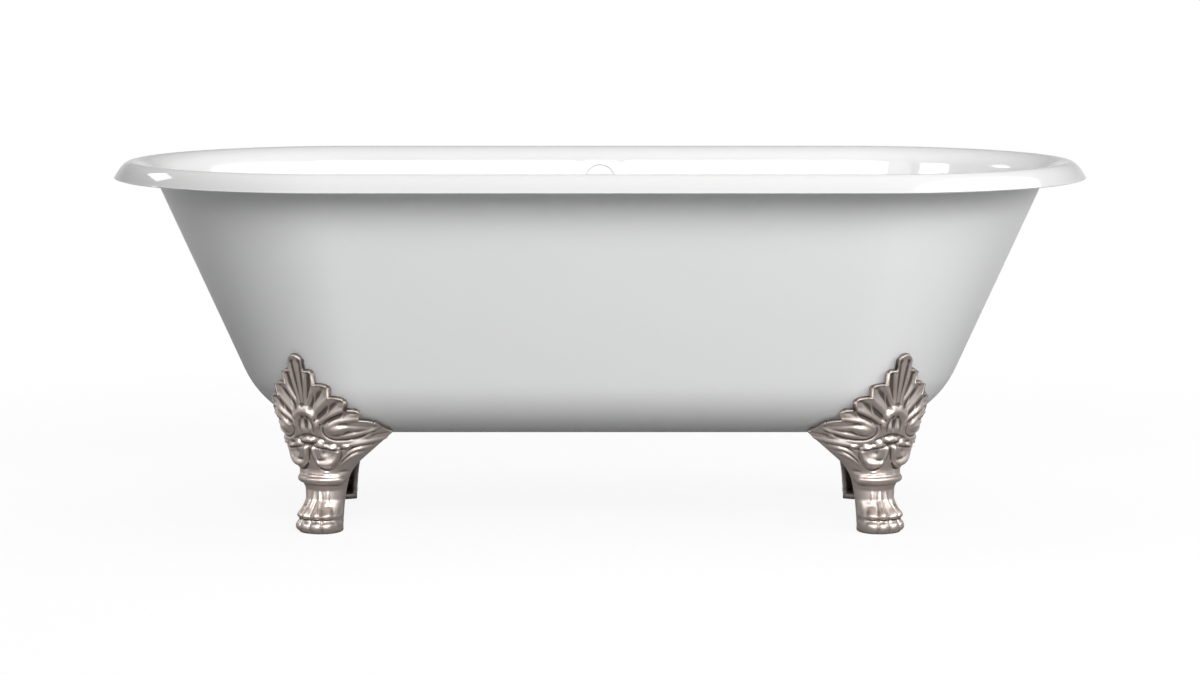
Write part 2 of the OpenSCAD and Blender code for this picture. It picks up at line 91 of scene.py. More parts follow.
class BathSettings(PropertyGroup):
    """Sizes and colours of the bath's casting."""
    length: FloatProperty(
        name="Length", description="Overall length over the rolled rim",
        default=2 * float(BATH_HIGH[0]), unit="LENGTH")
    width: FloatProperty(
        name="Width", description="Overall width over the rolled rim",
        default=2 * float(BATH_HIGH[1]), unit="LENGTH")
    height: FloatProperty(
        name="Height", description="Height of the rim's crest above the floor",
        default=float(BATH_HIGH[2]), unit="LENGTH")
    pad_drop: FloatProperty(
        name="Pad drop", description="Drop from the underside to the face of the cast pads",
        default=16 * MM, unit="LENGTH")
    wall: FloatProperty(
        name="Wall", description="Thickness of the casting",
        default=7.5 * MM, unit="LENGTH")
    end_lean: FloatProperty(
        name="End lean", description="Lean of the end walls from upright",
        default=math.radians(24.2), subtype="ANGLE")
    side_lean: FloatProperty(
        name="Side lean", description="Lean of the side walls from upright",
        default=math.radians(12), subtype="ANGLE")
    end_fillet: FloatProperty(
        name="End fillet", description="Radius where the end walls turn into the floor",
        default=167 * MM, unit="LENGTH")
    side_fillet: FloatProperty(
        name="Side fillet", description="Radius where the side walls turn into the floor",
        default=120 * MM, unit="LENGTH")
    round_at_rim: FloatProperty(
        name="Round at rim", description="Length of each round end of the rim",
        default=382 * MM, unit="LENGTH")
    round_at_floor: FloatProperty(
        name="Round at floor", description="Length of each round end of the flat floor",
        default=74.8 * MM, unit="LENGTH")
    fullness: FloatProperty(
        name="End fullness", description="Fullness of the round ends, where 2 is an ellipse",
        default=1.92)
    end_overhang: FloatProperty(
        name="End overhang", description="Reach of the rim past the end walls",
        default=77.5 * MM, unit="LENGTH")
    side_overhang: FloatProperty(
        name="Side overhang", description="Reach of the rim past the side walls",
        default=73 * MM, unit="LENGTH")
    crest_inset: FloatProperty(
        name="Crest inset", description="Distance from the rim's outer edge to its crest",
        default=31 * MM, unit="LENGTH")
    lip_drop: FloatProperty(
        name="Lip drop", description="Drop from the crest to the rim's outer edge",
        default=29 * MM, unit="LENGTH")
    roll_depth: FloatProperty(
        name="Roll depth", description="Depth of the roll from the crest",
        default=28 * MM, unit="LENGTH")
    roll_wall: FloatProperty(
        name="Rim wall", description="Thickness of the casting in the rim",
        default=8.5 * MM, unit="LENGTH")
    enamel: FloatVectorProperty(
        name="Enamel", description="Colour of the enamel inside and over the rim",
        default=(0.79, 0.79, 0.788), subtype="COLOR", size=3, min=0, max=1)
    paint: FloatVectorProperty(
        name="Paint", description="Colour of the satin paint outside",
        default=(0.88, 0.885, 0.885), subtype="COLOR", size=3, min=0, max=1)


class FootSettings(PropertyGroup):
    """Sizes and colours of the four carved feet."""
    reach_of_stud: FloatProperty(
        name="Stud reach", description="Distance of the fixing stud before the foot's axis",
        default=45 * MM, unit="LENGTH")
    back_depth: FloatProperty(
        name="Back depth", description="Depth from the open back to the foot's axis",
        default=31 * MM, unit="LENGTH")
    leg_drop: FloatProperty(
        name="Leg drop", description="Drop from the bath's underside to the top of the leg",
        default=47 * MM, unit="LENGTH")
    leaf_rise: FloatProperty(
        name="Leaf rise", description="Height of the top leaf above the underside",
        default=152 * MM, unit="LENGTH")
    wing_rise: FloatProperty(
        name="Wing rise", description="Height of the wing tips above the underside",
        default=19 * MM, unit="LENGTH")
    spread: FloatProperty(
        name="Spread", description="Half spread of the palmette round the foot's axis",
        default=math.radians(79), subtype="ANGLE")
    leaf_stand: FloatProperty(
        name="Stand off", description="Distance from the bath's wall to the palmette's face",
        default=11 * MM, unit="LENGTH")
    wall: FloatProperty(
        name="Wall", description="Thickness of the foot casting",
        default=8 * MM, unit="LENGTH")
    leaves: IntProperty(
        name="Leaves", description="Number of side leaves on each half",
        default=5, min=3, max=7)
    metal: FloatVectorProperty(
        name="Metal", description="Colour of the nickel plate",
        default=(0.62, 0.545, 0.505), subtype="COLOR", size=3, min=0, max=1)
    # The patina colour is mixed in as tarnish and painted shade in the feet's hollows, and as painted shade
    # on their turned edges
    patina_and_shade: FloatVectorProperty(
        name="Patina", description="Colour of the tarnish in the hollows",
        default=(0.17, 0.145, 0.135), subtype="COLOR", size=3, min=0, max=1)


class StudioSettings(PropertyGroup):
    """The plain white studio."""
    photo_width: IntProperty(
        name="Picture width", description="Width of the picture in pixels",
        default=1200)
    focal_pixels: FloatProperty(
        name="Focal length", description="Focal length in pixels",
        default=3232)
    camera_back: FloatProperty(
        name="Camera distance", description="Distance of the camera from the bath's middle",
        default=5.663, unit="LENGTH")
    camera_up: FloatProperty(
        name="Camera height", description="Height of the camera",
        default=1.028, unit="LENGTH")
    camera_dip: FloatProperty(
        name="Camera dip", description="Angle that the camera looks down",
        default=math.radians(7.168), subtype="ANGLE")
    plain_floor: FloatProperty(
        name="Plain floor", description="Reach of the floor that reflections show plain",
        default=1.2, unit="LENGTH")


# Meshes from grids of points

def quads_of(n):
    """The four-sided faces between the neighbours of a grid of point numbers."""
    return np.stack([n[:-1, :-1], n[:-1, 1:], n[1:, 1:], n[1:, :-1]], -1)


def wrapped(n):
    """A grid whose rows run once round, with its first column again at the end."""
    return np.concatenate([n, n[:, :1]], 1)


class Skin:
    """Collects grids of points, and the faces between them, for one mesh."""

    def __init__(self):
        self.points, self.values, self.faces, self.count = [], [], [], 0

    def add(self, points, value=0.0):
        """Adds an array of points with a value each, and returns their numbers in an array of like shape."""
        shape = points.shape[:-1]
        size = int(np.prod(shape))
        self.points.append(points.reshape(-1, 3))
        self.values.append(np.broadcast_to(value, shape).reshape(-1).astype(float))
        numbers = np.arange(self.count, self.count + size).reshape(shape)
        self.count += size
        return numbers

    def sheet(self, n, flip=False):
        """Faces over a grid of point numbers. A flip turns them to the other side."""
        quads = quads_of(n).reshape(-1, 4)
        self.faces.append(quads[:, ::-1] if flip else quads)

    def stitch(self, fine, coarse, share, flip=False):
        """Joins a fine line of points to a coarse one that has one point to each share of the fine ones."""
        steps = np.arange(len(coarse) - 1)
        along = [fine[steps * share + k] for k in range(share + 1)]
        polys = np.stack(along + [coarse[steps + 1], coarse[steps]], -1)
        self.faces.append(polys[:, ::-1] if flip else polys)

    def join_loops(self, outer, outer_turn, inner, inner_turn, flip=False):
        """Joins two closed loops that run round the same middle with triangles: going round, each triangle
        takes the next point of whichever loop comes first."""
        outer, inner = outer[np.argsort(outer_turn)], inner[np.argsort(inner_turn)]
        order = np.argsort(np.concatenate([np.sort(outer_turn), np.sort(inner_turn)]))
        on_outer = np.concatenate([np.ones(len(outer), bool), np.zeros(len(inner), bool)])[order]
        at_outer, at_inner = np.cumsum(on_outer) - 1, np.cumsum(~on_outer) - 1
        apex = np.where(on_outer, inner[at_inner], outer[at_outer])
        last = np.where(on_outer, outer[at_outer - 1], inner[at_inner])
        new = np.where(on_outer, outer[at_outer], inner[at_inner - 1])
        self.faces.append(np.stack([new, last, apex] if flip else [last, new, apex], -1))

    def lid(self, loop, flip=False):
        """One flat face inside a closed line of points."""
        self.faces.append(np.array([loop[::-1] if flip else loop]))

    def ring(self, rings, value=0.0):
        """A closed ring: faces round rings of points, along them, and from the last ring to the first."""
        n = wrapped(self.add(rings, value))
        self.sheet(np.concatenate([n, n[:1]]))

    def volume(self):
        """Volume inside a closed skin, added up from its faces. It is negative where they point inwards."""
        points = np.concatenate(self.points)
        total = 0.0
        for faces in self.faces:
            first = points[faces[:, 0]]
            for k in range(1, faces.shape[1] - 1):
                total += (first * np.cross(points[faces[:, k]], points[faces[:, k + 1]])).sum()
        return total / 6

    def piece(self, name, body, slot, material, nodes, attribute, sharp_edges=True):
        """Makes the mesh and its object, and hides the frame's nodes that it stands for. The attribute holds
        the value that was given with each point."""
        if self.volume() <= 0:
            raise ValueError(name + " is inside out")
        mesh = bpy.data.meshes.new(name)
        used, corners = np.unique(np.concatenate([f.ravel() for f in self.faces]), return_inverse=True)
        points = np.concatenate(self.points)[used]
        mesh.vertices.add(len(points))
        mesh.vertices.foreach_set("co", points.astype(np.float32).ravel())
        sizes = np.concatenate([np.full(len(f), f.shape[1]) for f in self.faces])
        mesh.loops.add(len(corners))
        mesh.loops.foreach_set("vertex_index", corners.astype(np.int32))
        mesh.polygons.add(len(sizes))
        mesh.polygons.foreach_set("loop_start", (np.cumsum(sizes) - sizes).astype(np.int32))
        mesh.update(calc_edges=True)
        mesh.validate()
        layer = mesh.attributes.new(attribute, "FLOAT", "POINT")
        layer.data.foreach_set("value", np.concatenate(self.values)[used].astype(np.float32))
        mesh.shade_smooth()
        if sharp_edges:
            mesh.set_sharp_from_angle(angle=SHARP_FROM)
        mesh.materials.append(material)
        made = bpy.data.objects.new(name, mesh)
        bpy.context.scene.collection.objects.link(made)
        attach(made, body)
        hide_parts(*nodes)


def bell(t):
    """A smooth bump: one minus t squared, squared, and nothing past t = 1."""
    return np.clip(1 - t * t, 0, 1) ** 2


def ease(t):
    """Rises smoothly from 0 to 1 as t does."""
    t = np.clip(t, 0, 1)
    return t * t * (3 - 2 * t)


def unit(v):
    """A vector's direction, with a length of one."""
    return v / np.maximum(np.linalg.norm(v, axis=-1, keepdims=True), 1e-12)


def halved(past, low, high, rounds=26):
    """Where a test turns true between two arrays of values, by halving the bracket."""
    for _ in range(rounds):
        mid = (low + high) / 2
        beyond = past(mid)
        low, high = np.where(beyond, low, mid), np.where(beyond, mid, high)
    return (low + high) / 2


def turns(count, first=0.0):
    """Angles evenly round a circle."""
    return np.linspace(first, first + 2 * math.pi, count, endpoint=False)


def upright_rings(middle, turn, profile):
    """Rings round an upright line, from rows of radius and height."""
    return [np.stack([middle[0] + r * np.cos(turn), middle[1] + r * np.sin(turn), z + 0 * turn], -1)
            for r, z in profile]


# The bath's shape. These follow the construction: a superellipse plan and leaning walls.

# The outer roll starts this far below the inner one
OUTER_ROLL_DROP = 13 * MM
# How far the roll's curve is pulled straight on up the wall, and level before the crest
WALL_PULL, CREST_PULL = 17 * MM, 19 * MM
# The rim's edge is this share of its wall thick, and is rounded down and then up past its middle
EDGE_SHARE, EDGE_DIP, EDGE_RISE = 0.9, 1.7 * MM, 0.6 * MM
# Share of the way from the crest to the edge at which the enamelled flare starts
FLARE_START = 0.95
# The floor falls this much towards the waste
FLOOR_FALL = 1.2 * MM
# The waste's seat: its radius, its depth, and the round of its edges
SEAT_R, SEAT_DEPTH, SEAT_SOFT = 39 * MM, 2.5 * MM, 1 * MM
# Rows of points in the floor's fillet, up a wall, over the roll, under the rim, round its edge and on its
# enamelled flare
FILLET_ROWS, WALL_ROWS, ROLL_ROWS, UNDER_ROWS, EDGE_ROWS, FLARE_ROWS = 26, 34, 22, 16, 9, 18
# Rings from the floor's edge to the waste
FLOOR_RINGS = 11
# Points round each end of the bath and along each side
END_POINTS, SIDE_POINTS = 72, 56
# The overflow hole's mouth, in shares of its round: how much wider than the hole, and how deep in the wall
MOUTH = np.array([
    (2.2, 0), (1.9, 0), (1.6, 0), (1.3, 0), (1.0, 0), (0.55, 0.1), (0.2, 0.45), (0, 1.0), (0, 1.8)])
# That round on the enamelled face and on the painted one, and the points round the hole
ENAMEL_SOFT, PAINT_SOFT, MOUTH_POINTS = 1.8 * MM, 0.5 * MM, 80


class BathShape:
    """Half length, half width and straight stretch of the bath at any height, in metres."""

    def __init__(self, s):
        self.s = s
        self.under = PAD_LOW + s.pad_drop
        self.half_l, self.half_w = s.length / 2, s.width / 2
        self.inner_top = s.height - s.roll_depth
        self.wall_top = self.inner_top - OUTER_ROLL_DROP
        self.floor_l = self.flat_half(self.half_l - s.end_overhang, s.end_fillet, s.end_lean)
        self.floor_w = self.flat_half(self.half_w - s.side_overhang, s.side_fillet, s.side_lean)
        self.straight_rim = self.half_l - s.round_at_rim
        self.straight_floor = self.floor_l - s.round_at_floor

    def flat_half(self, top, fillet, lean):
        """Half size of the flat floor under a wall that leans and reaches top where the roll starts."""
        turn = self.under + fillet * (1 - math.sin(lean))
        return top - (self.wall_top - turn) * math.tan(lean) - fillet * math.cos(lean)

    def half_at(self, z, inset, flat, fillet, lean):
        """Half size at height z: a round of the fillet's radius from the floor, then a line that leans."""
        r, c = fillet - inset, self.under + fillet
        turn = c - r * math.sin(lean)
        low = flat + np.sqrt(np.maximum(0, r * r - (c - z) ** 2))
        high = flat + r * math.cos(lean) + (z - turn) * math.tan(lean)
        return np.where(z < turn, low, high)

    def end_at(self, z, inset=0.0):
        """Half length of the wall at height z, moved in by an inset."""
        return self.half_at(z, inset, self.floor_l, self.s.end_fillet, self.s.end_lean)

    def side_at(self, z, inset=0.0):
        """Half width of the wall at height z, moved in by an inset."""
        return self.half_at(z, inset, self.floor_w, self.s.side_fillet, self.s.side_lean)

    def straight_at(self, z):
        """Half length of the straight stretch of the sides, which grows evenly with the height."""
        share = (z - self.under) / (self.s.height - self.under)
        return self.straight_floor + (self.straight_rim - self.straight_floor) * share

    def outside(self, x, y, z):
        """Below 1 inside the bath's outer wall at height z, and above 1 outside it."""
        a, b, s = self.end_at(z), self.side_at(z), self.straight_at(z)
        along = np.maximum(0, (np.abs(x) - s) / (a - s)) ** self.s.fullness
        return along + (np.abs(y) / b) ** self.s.fullness

    def under_at(self, x, y):
        """Height of the bath's underside over a level point."""
        low, high = np.full(np.shape(x), self.under), np.full(np.shape(x), self.under + self.s.side_fillet)
        return halved(lambda z: self.outside(x, y, z) <= 1, low, high)

    def rows(self):
        """The closed profile, as rows of half length, half width and height, from the underside's edge out
        over the rim and down inside to the floor's edge, with how much enamel each row carries."""
        s, h = self.s, self.s.height

        def wall_rows(z, inset):
            """Rows of the leaning wall at these heights."""
            return np.stack([self.end_at(z, inset), self.side_at(z, inset), z], -1)

        def rim_rows(out_end, out_side, z):
            """Rows that lie this far out from the rim's half length and half width."""
            return np.stack([self.half_l + out_end, self.half_w + out_side, z + 0 * out_end], -1)

        def fillet_z(inset):
            """Heights of even turns up the fillet, from the floor to where the wall leans."""
            turn = np.linspace(0, math.pi / 2 - s.end_lean, FILLET_ROWS)
            return self.under + s.end_fillet - (s.end_fillet - inset) * np.cos(turn)

        def roll(end_reach, side_reach, low, high, t):
            """A cubic curve with two handles, from the wall's top to the crest."""
            end_lean, side_lean = WALL_PULL * np.tan([s.end_lean, s.side_lean])
            handle = -s.crest_inset - CREST_PULL
            p = np.array([[end_reach, side_reach, low],
                          [end_reach + end_lean, side_reach + side_lean, low + WALL_PULL],
                          [handle, handle, high],
                          [-s.crest_inset, -s.crest_inset, high]])
            w = np.stack([(1 - t) ** 3, 3 * (1 - t) ** 2 * t, 3 * (1 - t) * t * t, t ** 3], -1)
            return rim_rows(*(w @ p).T)

        outer_z, inner_z = fillet_z(0), fillet_z(s.wall)
        t = np.linspace(0, 1, ROLL_ROWS)
        low_crest, lip_z, lip_in = h - s.roll_wall, h - s.lip_drop, -EDGE_SHARE * s.roll_wall
        outer_roll = roll(-s.end_overhang, -s.side_overhang, self.wall_top, low_crest, t)
        q = np.linspace(0, math.pi / 2, UNDER_ROWS)[1:-1]
        under = -s.crest_inset + (s.crest_inset + lip_in) * np.sin(q)
        under_flare = rim_rows(under, under, lip_z + (low_crest - lip_z) * np.cos(q))
        turn = np.linspace(0, math.pi, EDGE_ROWS)
        edge = lip_in / 2 + lip_in / 2 * np.cos(turn)
        lip = rim_rows(edge, edge, lip_z + EDGE_RISE - EDGE_DIP * np.sin(turn))
        half_lip = EDGE_ROWS // 2
        f = np.linspace(FLARE_START, 0, FLARE_ROWS)
        flare = rim_rows(-s.crest_inset * (1 - f), -s.crest_inset * (1 - f), h - s.lip_drop * f * f)
        end_top, side_top = self.end_at(self.inner_top, s.wall), self.side_at(self.inner_top, s.wall)
        inner_roll = roll(end_top - self.half_l, side_top - self.half_w, self.inner_top, h, t[::-1])[1:]
        walls = np.linspace(0, 1, WALL_ROWS)[1:-1]
        parts = [(wall_rows(outer_z, 0), 0),
                 (wall_rows(outer_z[-1] + (self.wall_top - outer_z[-1]) * walls, 0), 0),
                 (outer_roll, 0), (under_flare, 0), (lip[:half_lip], 0.35), (lip[half_lip:], 1), (flare, 1),
                 (inner_roll, 1),
                 (wall_rows(self.inner_top + (inner_z[-1] - self.inner_top) * walls, s.wall), 1),
                 (wall_rows(inner_z[::-1], s.wall), 1)]
        return (np.concatenate([p for p, _ in parts]),
                np.concatenate([np.full(len(p), float(e)) for p, e in parts]))

    def plan(self, rows):
        """Rings round the bath, one for each row. A round end is a superellipse: the cosine and sine of the
        turn raised to 2 over the fullness. A straight side has points evenly along it."""
        a, b, z = (rows[:, k, None] for k in range(3))
        s = self.straight_at(z)
        q = np.linspace(-math.pi / 2, math.pi / 2, END_POINTS + 1)[None]
        power = 2 / self.s.fullness
        x = s + (a - s) * np.clip(np.cos(q), 0, 1) ** power
        y = b * np.sign(np.sin(q)) * np.abs(np.sin(q)) ** power
        f = np.linspace(1, -1, SIDE_POINTS + 1)[None, 1:-1]
        x = np.concatenate([x, s * f, -x[:, ::-1], -s * f], 1)
        y = np.concatenate([y, b + 0 * f, y[:, ::-1], -b + 0 * f], 1)
        return np.stack([x, y, z + 0 * x], -1)


def cast_bath(s):
    """The bath's casting: one closed skin that runs out along the underside, up the outside, over the rim,
    down the inside and back through the waste hole, with the overflow hole punched through its side."""
    shape = BathShape(s)
    skin = Skin()
    rows, enamel = shape.rows()
    rings = shape.plan(rows)
    turn = np.arctan2(rings[0, :, 1], rings[0, :, 0])
    circle = np.stack([np.cos(turn), np.sin(turn)], -1)

    def floor(edge, radius, z, fall):
        """Rings between the floor's edge and the waste: a straight blend of the two outlines."""
        f = np.linspace(0, 1, FLOOR_RINGS + 1)[1:, None, None]
        flat = edge[None, :, :2] * (1 - f) + radius * circle[None] * f
        return np.concatenate([flat, z - fall * ease(f) + 0 * flat[..., :1]], -1)

    floor_z = shape.under + s.wall
    inside = floor(rings[-1], SEAT_R + 2 * SEAT_SOFT, floor_z, FLOOR_FALL)
    glazed, bare = waste_profiles(floor_z, shape.under)
    through = np.stack(upright_rings((0, 0), turn, glazed + bare))
    outside = floor(rings[0], SEAT_R + 2 * SEAT_SOFT, shape.under, 0)[::-1]
    rings = np.concatenate([rings, inside, through, outside])
    enamel = np.concatenate([enamel, np.ones(len(inside) + len(glazed)), np.zeros(len(bare) + len(outside))])
    n = wrapped(skin.add(rings, enamel[:, None]))
    punch_overflow(skin, rings, rows, np.concatenate([n, n[:1]]))
    for sx, sy in CORNERS.values():
        foot_pad(skin, shape, sx, sy)
    return skin


def waste_profiles(floor_z, under):
    """Rows of radius and height down through the waste hole: first the enamelled seat and the hole's mouth,
    then the bare hole and the ring under it. Every edge is rounded by three points."""
    waste, soft = mount("waste"), SEAT_SOFT
    hole_r, low_z = waste["dims"]["r_mm"] * MM, waste["pos_m"][2] - waste["dims"]["length_mm"] * MM / 2
    seat_z, floor_z = floor_z - SEAT_DEPTH, floor_z - FLOOR_FALL
    glazed = [
        (SEAT_R + soft, floor_z - 0.1 * soft), (SEAT_R + 0.3 * soft, floor_z - 0.5 * soft),
        (SEAT_R, floor_z - soft), (SEAT_R - 0.3 * soft, seat_z + 0.1 * soft), (SEAT_R - soft, seat_z),
        (hole_r + 3 * soft, seat_z), (hole_r + soft, seat_z - 0.1 * soft),
        (hole_r + 0.3 * soft, seat_z - 0.4 * soft), (hole_r, seat_z - soft)]
    bare = [
        (hole_r, low_z + soft), (hole_r + 0.3 * soft, low_z + 0.3 * soft), (hole_r + soft, low_z),
        (SEAT_R - 2 * soft, low_z), (SEAT_R - 0.6 * soft, low_z + 0.6 * soft), (SEAT_R, low_z + 2 * soft),
        (SEAT_R, under - 2 * soft), (SEAT_R + 0.6 * soft, under - 0.6 * soft)]
    return glazed, bare


def punch_overflow(skin, rings, rows, n):
    """Adds the bath's faces, with the overflow hole punched through both faces of the side wall: a block of
    them is left out round each mouth and filled by the mouth's own rings. n numbers the points."""
    over = mount("overflow")
    at, radius = np.array(over["pos_m"]), over["dims"]["r_mm"] * MM
    lip_row, crest_row = int(np.argmax(rows[:, 1])), int(np.argmax(rows[:, 2]))
    outer, inner = slice(0, int(np.argmax(rows[:lip_row, 2]))), slice(crest_row, len(rows))
    quads = quads_of(n)
    keep, mouths = np.ones(quads.shape[:2], bool), []
    near = (np.abs(rings[..., 0] - at[0]) < 2 * radius) & (rings[..., 1] > 0)
    near &= np.abs(rings[..., 2] - at[2]) < 1.5 * radius
    for part, enamelled in ((outer, False), (inner, True)):
        r, c = np.nonzero(near[part])
        r0, r1, c0, c1 = part.start + r.min(), part.start + r.max(), c.min(), c.max()
        keep[r0:r1, c0:c1] = False
        block = np.concatenate([n[r0, c0:c1], n[r0:r1, c1], n[r1, c1:c0:-1], n[r1:r0:-1, c0]])
        mouths.append(mouth(skin, block, rings.reshape(-1, 3)[block], rows[part], enamelled))
    skin.faces.append(quads[keep])
    skin.sheet(wrapped(np.stack(mouths)), flip=True)


def mouth(skin, block, corners, profile, enamelled):
    """Fills a block of the wall round the overflow hole, with rings that close in from a wider circle. Each
    lies on the wall's profile, and the last ones turn down into the hole."""
    over = mount("overflow")
    at, axis, radius = np.array(over["pos_m"]), unit(np.array(over["axis"])), over["dims"]["r_mm"] * MM
    along = np.array([1.0, 0.0, 0.0])
    up = unit(np.cross(along, axis))
    turn = turns(MOUTH_POINTS, -math.pi)
    circle = np.cos(turn)[:, None] * along + np.sin(turn)[:, None] * up
    order = np.argsort(profile[:, 2])
    grown, sunk = (MOUTH * (ENAMEL_SOFT if enamelled else PAINT_SOFT)).T
    flat = at + (radius + grown)[:, None, None] * circle
    y = np.interp(flat[..., 2], profile[order, 2], profile[order, 1])
    rings = np.stack([flat[..., 0], y, flat[..., 2]], -1)
    rings += (sunk if enamelled else -sunk)[:, None, None] * axis
    n = skin.add(rings, float(enamelled))
    level = corners - at
    skin.join_loops(block, np.arctan2(level @ up, level @ along), n[0], turn, flip=not enamelled)
    skin.sheet(wrapped(n), flip=not enamelled)
    return n[-1]


# A foot's cast pad: its radius, its tapped hole and that hole's depth, and the round of its edge
PAD_R, PAD_HOLE_R, PAD_HOLE_DEPTH, PAD_SOFT = 15 * MM, 5 * MM, 13 * MM, 1.2 * MM
# The round where the pad's root spreads into the underside, and how far that and its core lie in the iron
PAD_ROOT, ROOT_SUNK, CORE_SUNK = 5 * MM, 0.4 * MM, 2.5 * MM


def foot_pad(skin, shape, sx, sy):
    """A cast pad for a foot: a turned boss with a tapped hole, whose root spreads into the underside."""
    turn, middle = turns(64), (sx * STUD_AT[0], sy * STUD_AT[1])

    def on_underside(radius, rise):
        """A ring round the pad's axis, laid on the underside and raised."""
        x, y = middle[0] + radius * np.cos(turn), middle[1] + radius * np.sin(turn)
        return np.stack([x, y, shape.under_at(x, y) + rise], -1)

    profile = [(PAD_HOLE_R, PAD_HOLE_DEPTH), (PAD_HOLE_R, PAD_SOFT / 2), (PAD_HOLE_R + PAD_SOFT / 2, 0),
               (PAD_R - PAD_SOFT, 0), (PAD_R - 0.3 * PAD_SOFT, 0.3 * PAD_SOFT), (PAD_R, PAD_SOFT)]
    boss = upright_rings(middle, turn, [(r, PAD_LOW + z) for r, z in profile])
    q = np.linspace(0, math.pi / 2, 7)
    root = [on_underside(PAD_R + spread, ROOT_SUNK - rise)
            for spread, rise in zip(PAD_ROOT * (1 - np.cos(q)), PAD_ROOT * (1 - np.sin(q)))]
    core = [on_underside(PAD_R / 2, CORE_SUNK)]
    core += upright_rings(middle, turn, [(PAD_HOLE_R, PAD_LOW + PAD_HOLE_DEPTH + 1 * MM)])
    skin.ring(np.stack(boss + root + core))


# The feet. A foot is a sleeve round an upright axis: a leg, and above it a palmette laid on the bath's wall.

# Stations up the leg: share of its height, reach of the front and half width of the open back in
# millimetres, and the power by which the front falls to the back
STATIONS = np.array([
    (0, 88, 30, 2.3), (0.07, 93, 32, 2.5), (0.13, 92, 33, 2.5), (0.18, 87, 33, 2.3), (0.25, 91, 34, 2.3),
    (0.35, 79, 35, 1.9), (0.46, 68, 36.5, 1.6), (0.6, 65, 39.5, 1.6), (0.71, 73, 43, 1.6),
    (0.77, 81, 45, 1.7), (0.83, 74, 48, 1.7), (0.92, 73, 55, 1.7), (1, 79, 63.5, 1.7)])
# The top leaf's outline: degrees from its middle, and millimetres below its tip
TOP_LEAF = np.array([
    (0, 0), (0.8, 0.2), (2.0, 1.5), (3.4, 3.7), (4.6, 6.0), (5.3, 8.2), (5.6, 11.5), (5.7, 18), (5.9, 26),
    (6.3, 34)])
# Share of the palmette's height, below the cut, over which the rows close up
NOTCH_REACH = 0.08
# How far each side leaf's tip lies below the smooth rim, for each leaf between it and the wing's tip
LEAF_DROP = 1 * MM
# How the casting turns over at its edges: millimetres out past the edge, and millimetres back from the face
EDGE = np.array([
    (0.5, 0.15), (0.9, 0.5), (1.1, 1.1), (1.15, 2.6), (1.15, 5.4), (0.9, 6.9), (0.3, 7.7), (-0.7, 8)])
# Millimetres across the chart of the carving for each degree round the foot
CHART = 1.5
# Part of the spread that the wing tip takes beyond the last side leaf
WING_TURN = math.radians(16)
# How far from the foot's axis the bath's wall is looked for
WALL_REACH = 320 * MM
# Share of the leg's height over which its stations are rounded into each other
STATION_BLEND = 0.03
# How sharply the rim falls from the top leaf to the wing tips, where 1 is a straight line
RIM_FALL = 1.25
# A side leaf's edge: how far it rises over its run and bows up, how far its tip is worn, and over what share
LEAF_RISE, LEAF_BOW, TIP_WORN, WORN_SHARE = 2.4 * MM, 1.2 * MM, 2.0 * MM, 0.14
# The bend between leg and palmette: how far it is rounded at its middle, and how far off the rounding ends
BEND_SOFT, BEND_REACH = 7 * MM, 45 * MM
# Run of the palmette along its rows, for that rounding
PALM_RUN = 150 * MM
# Columns crowd round each notch: how many times over, how many degrees past it, and over how many degrees
CROWDING, CROWD_PAST, CROWD_HALF = 3, 0.5, 0.8
# Points across the foot, up the leg and up the palmette. The back has one for so many of the face's
FOOT_COLUMNS, LEG_ROWS, PALM_ROWS, BACK_SHARE = 171, 109, 140, 4


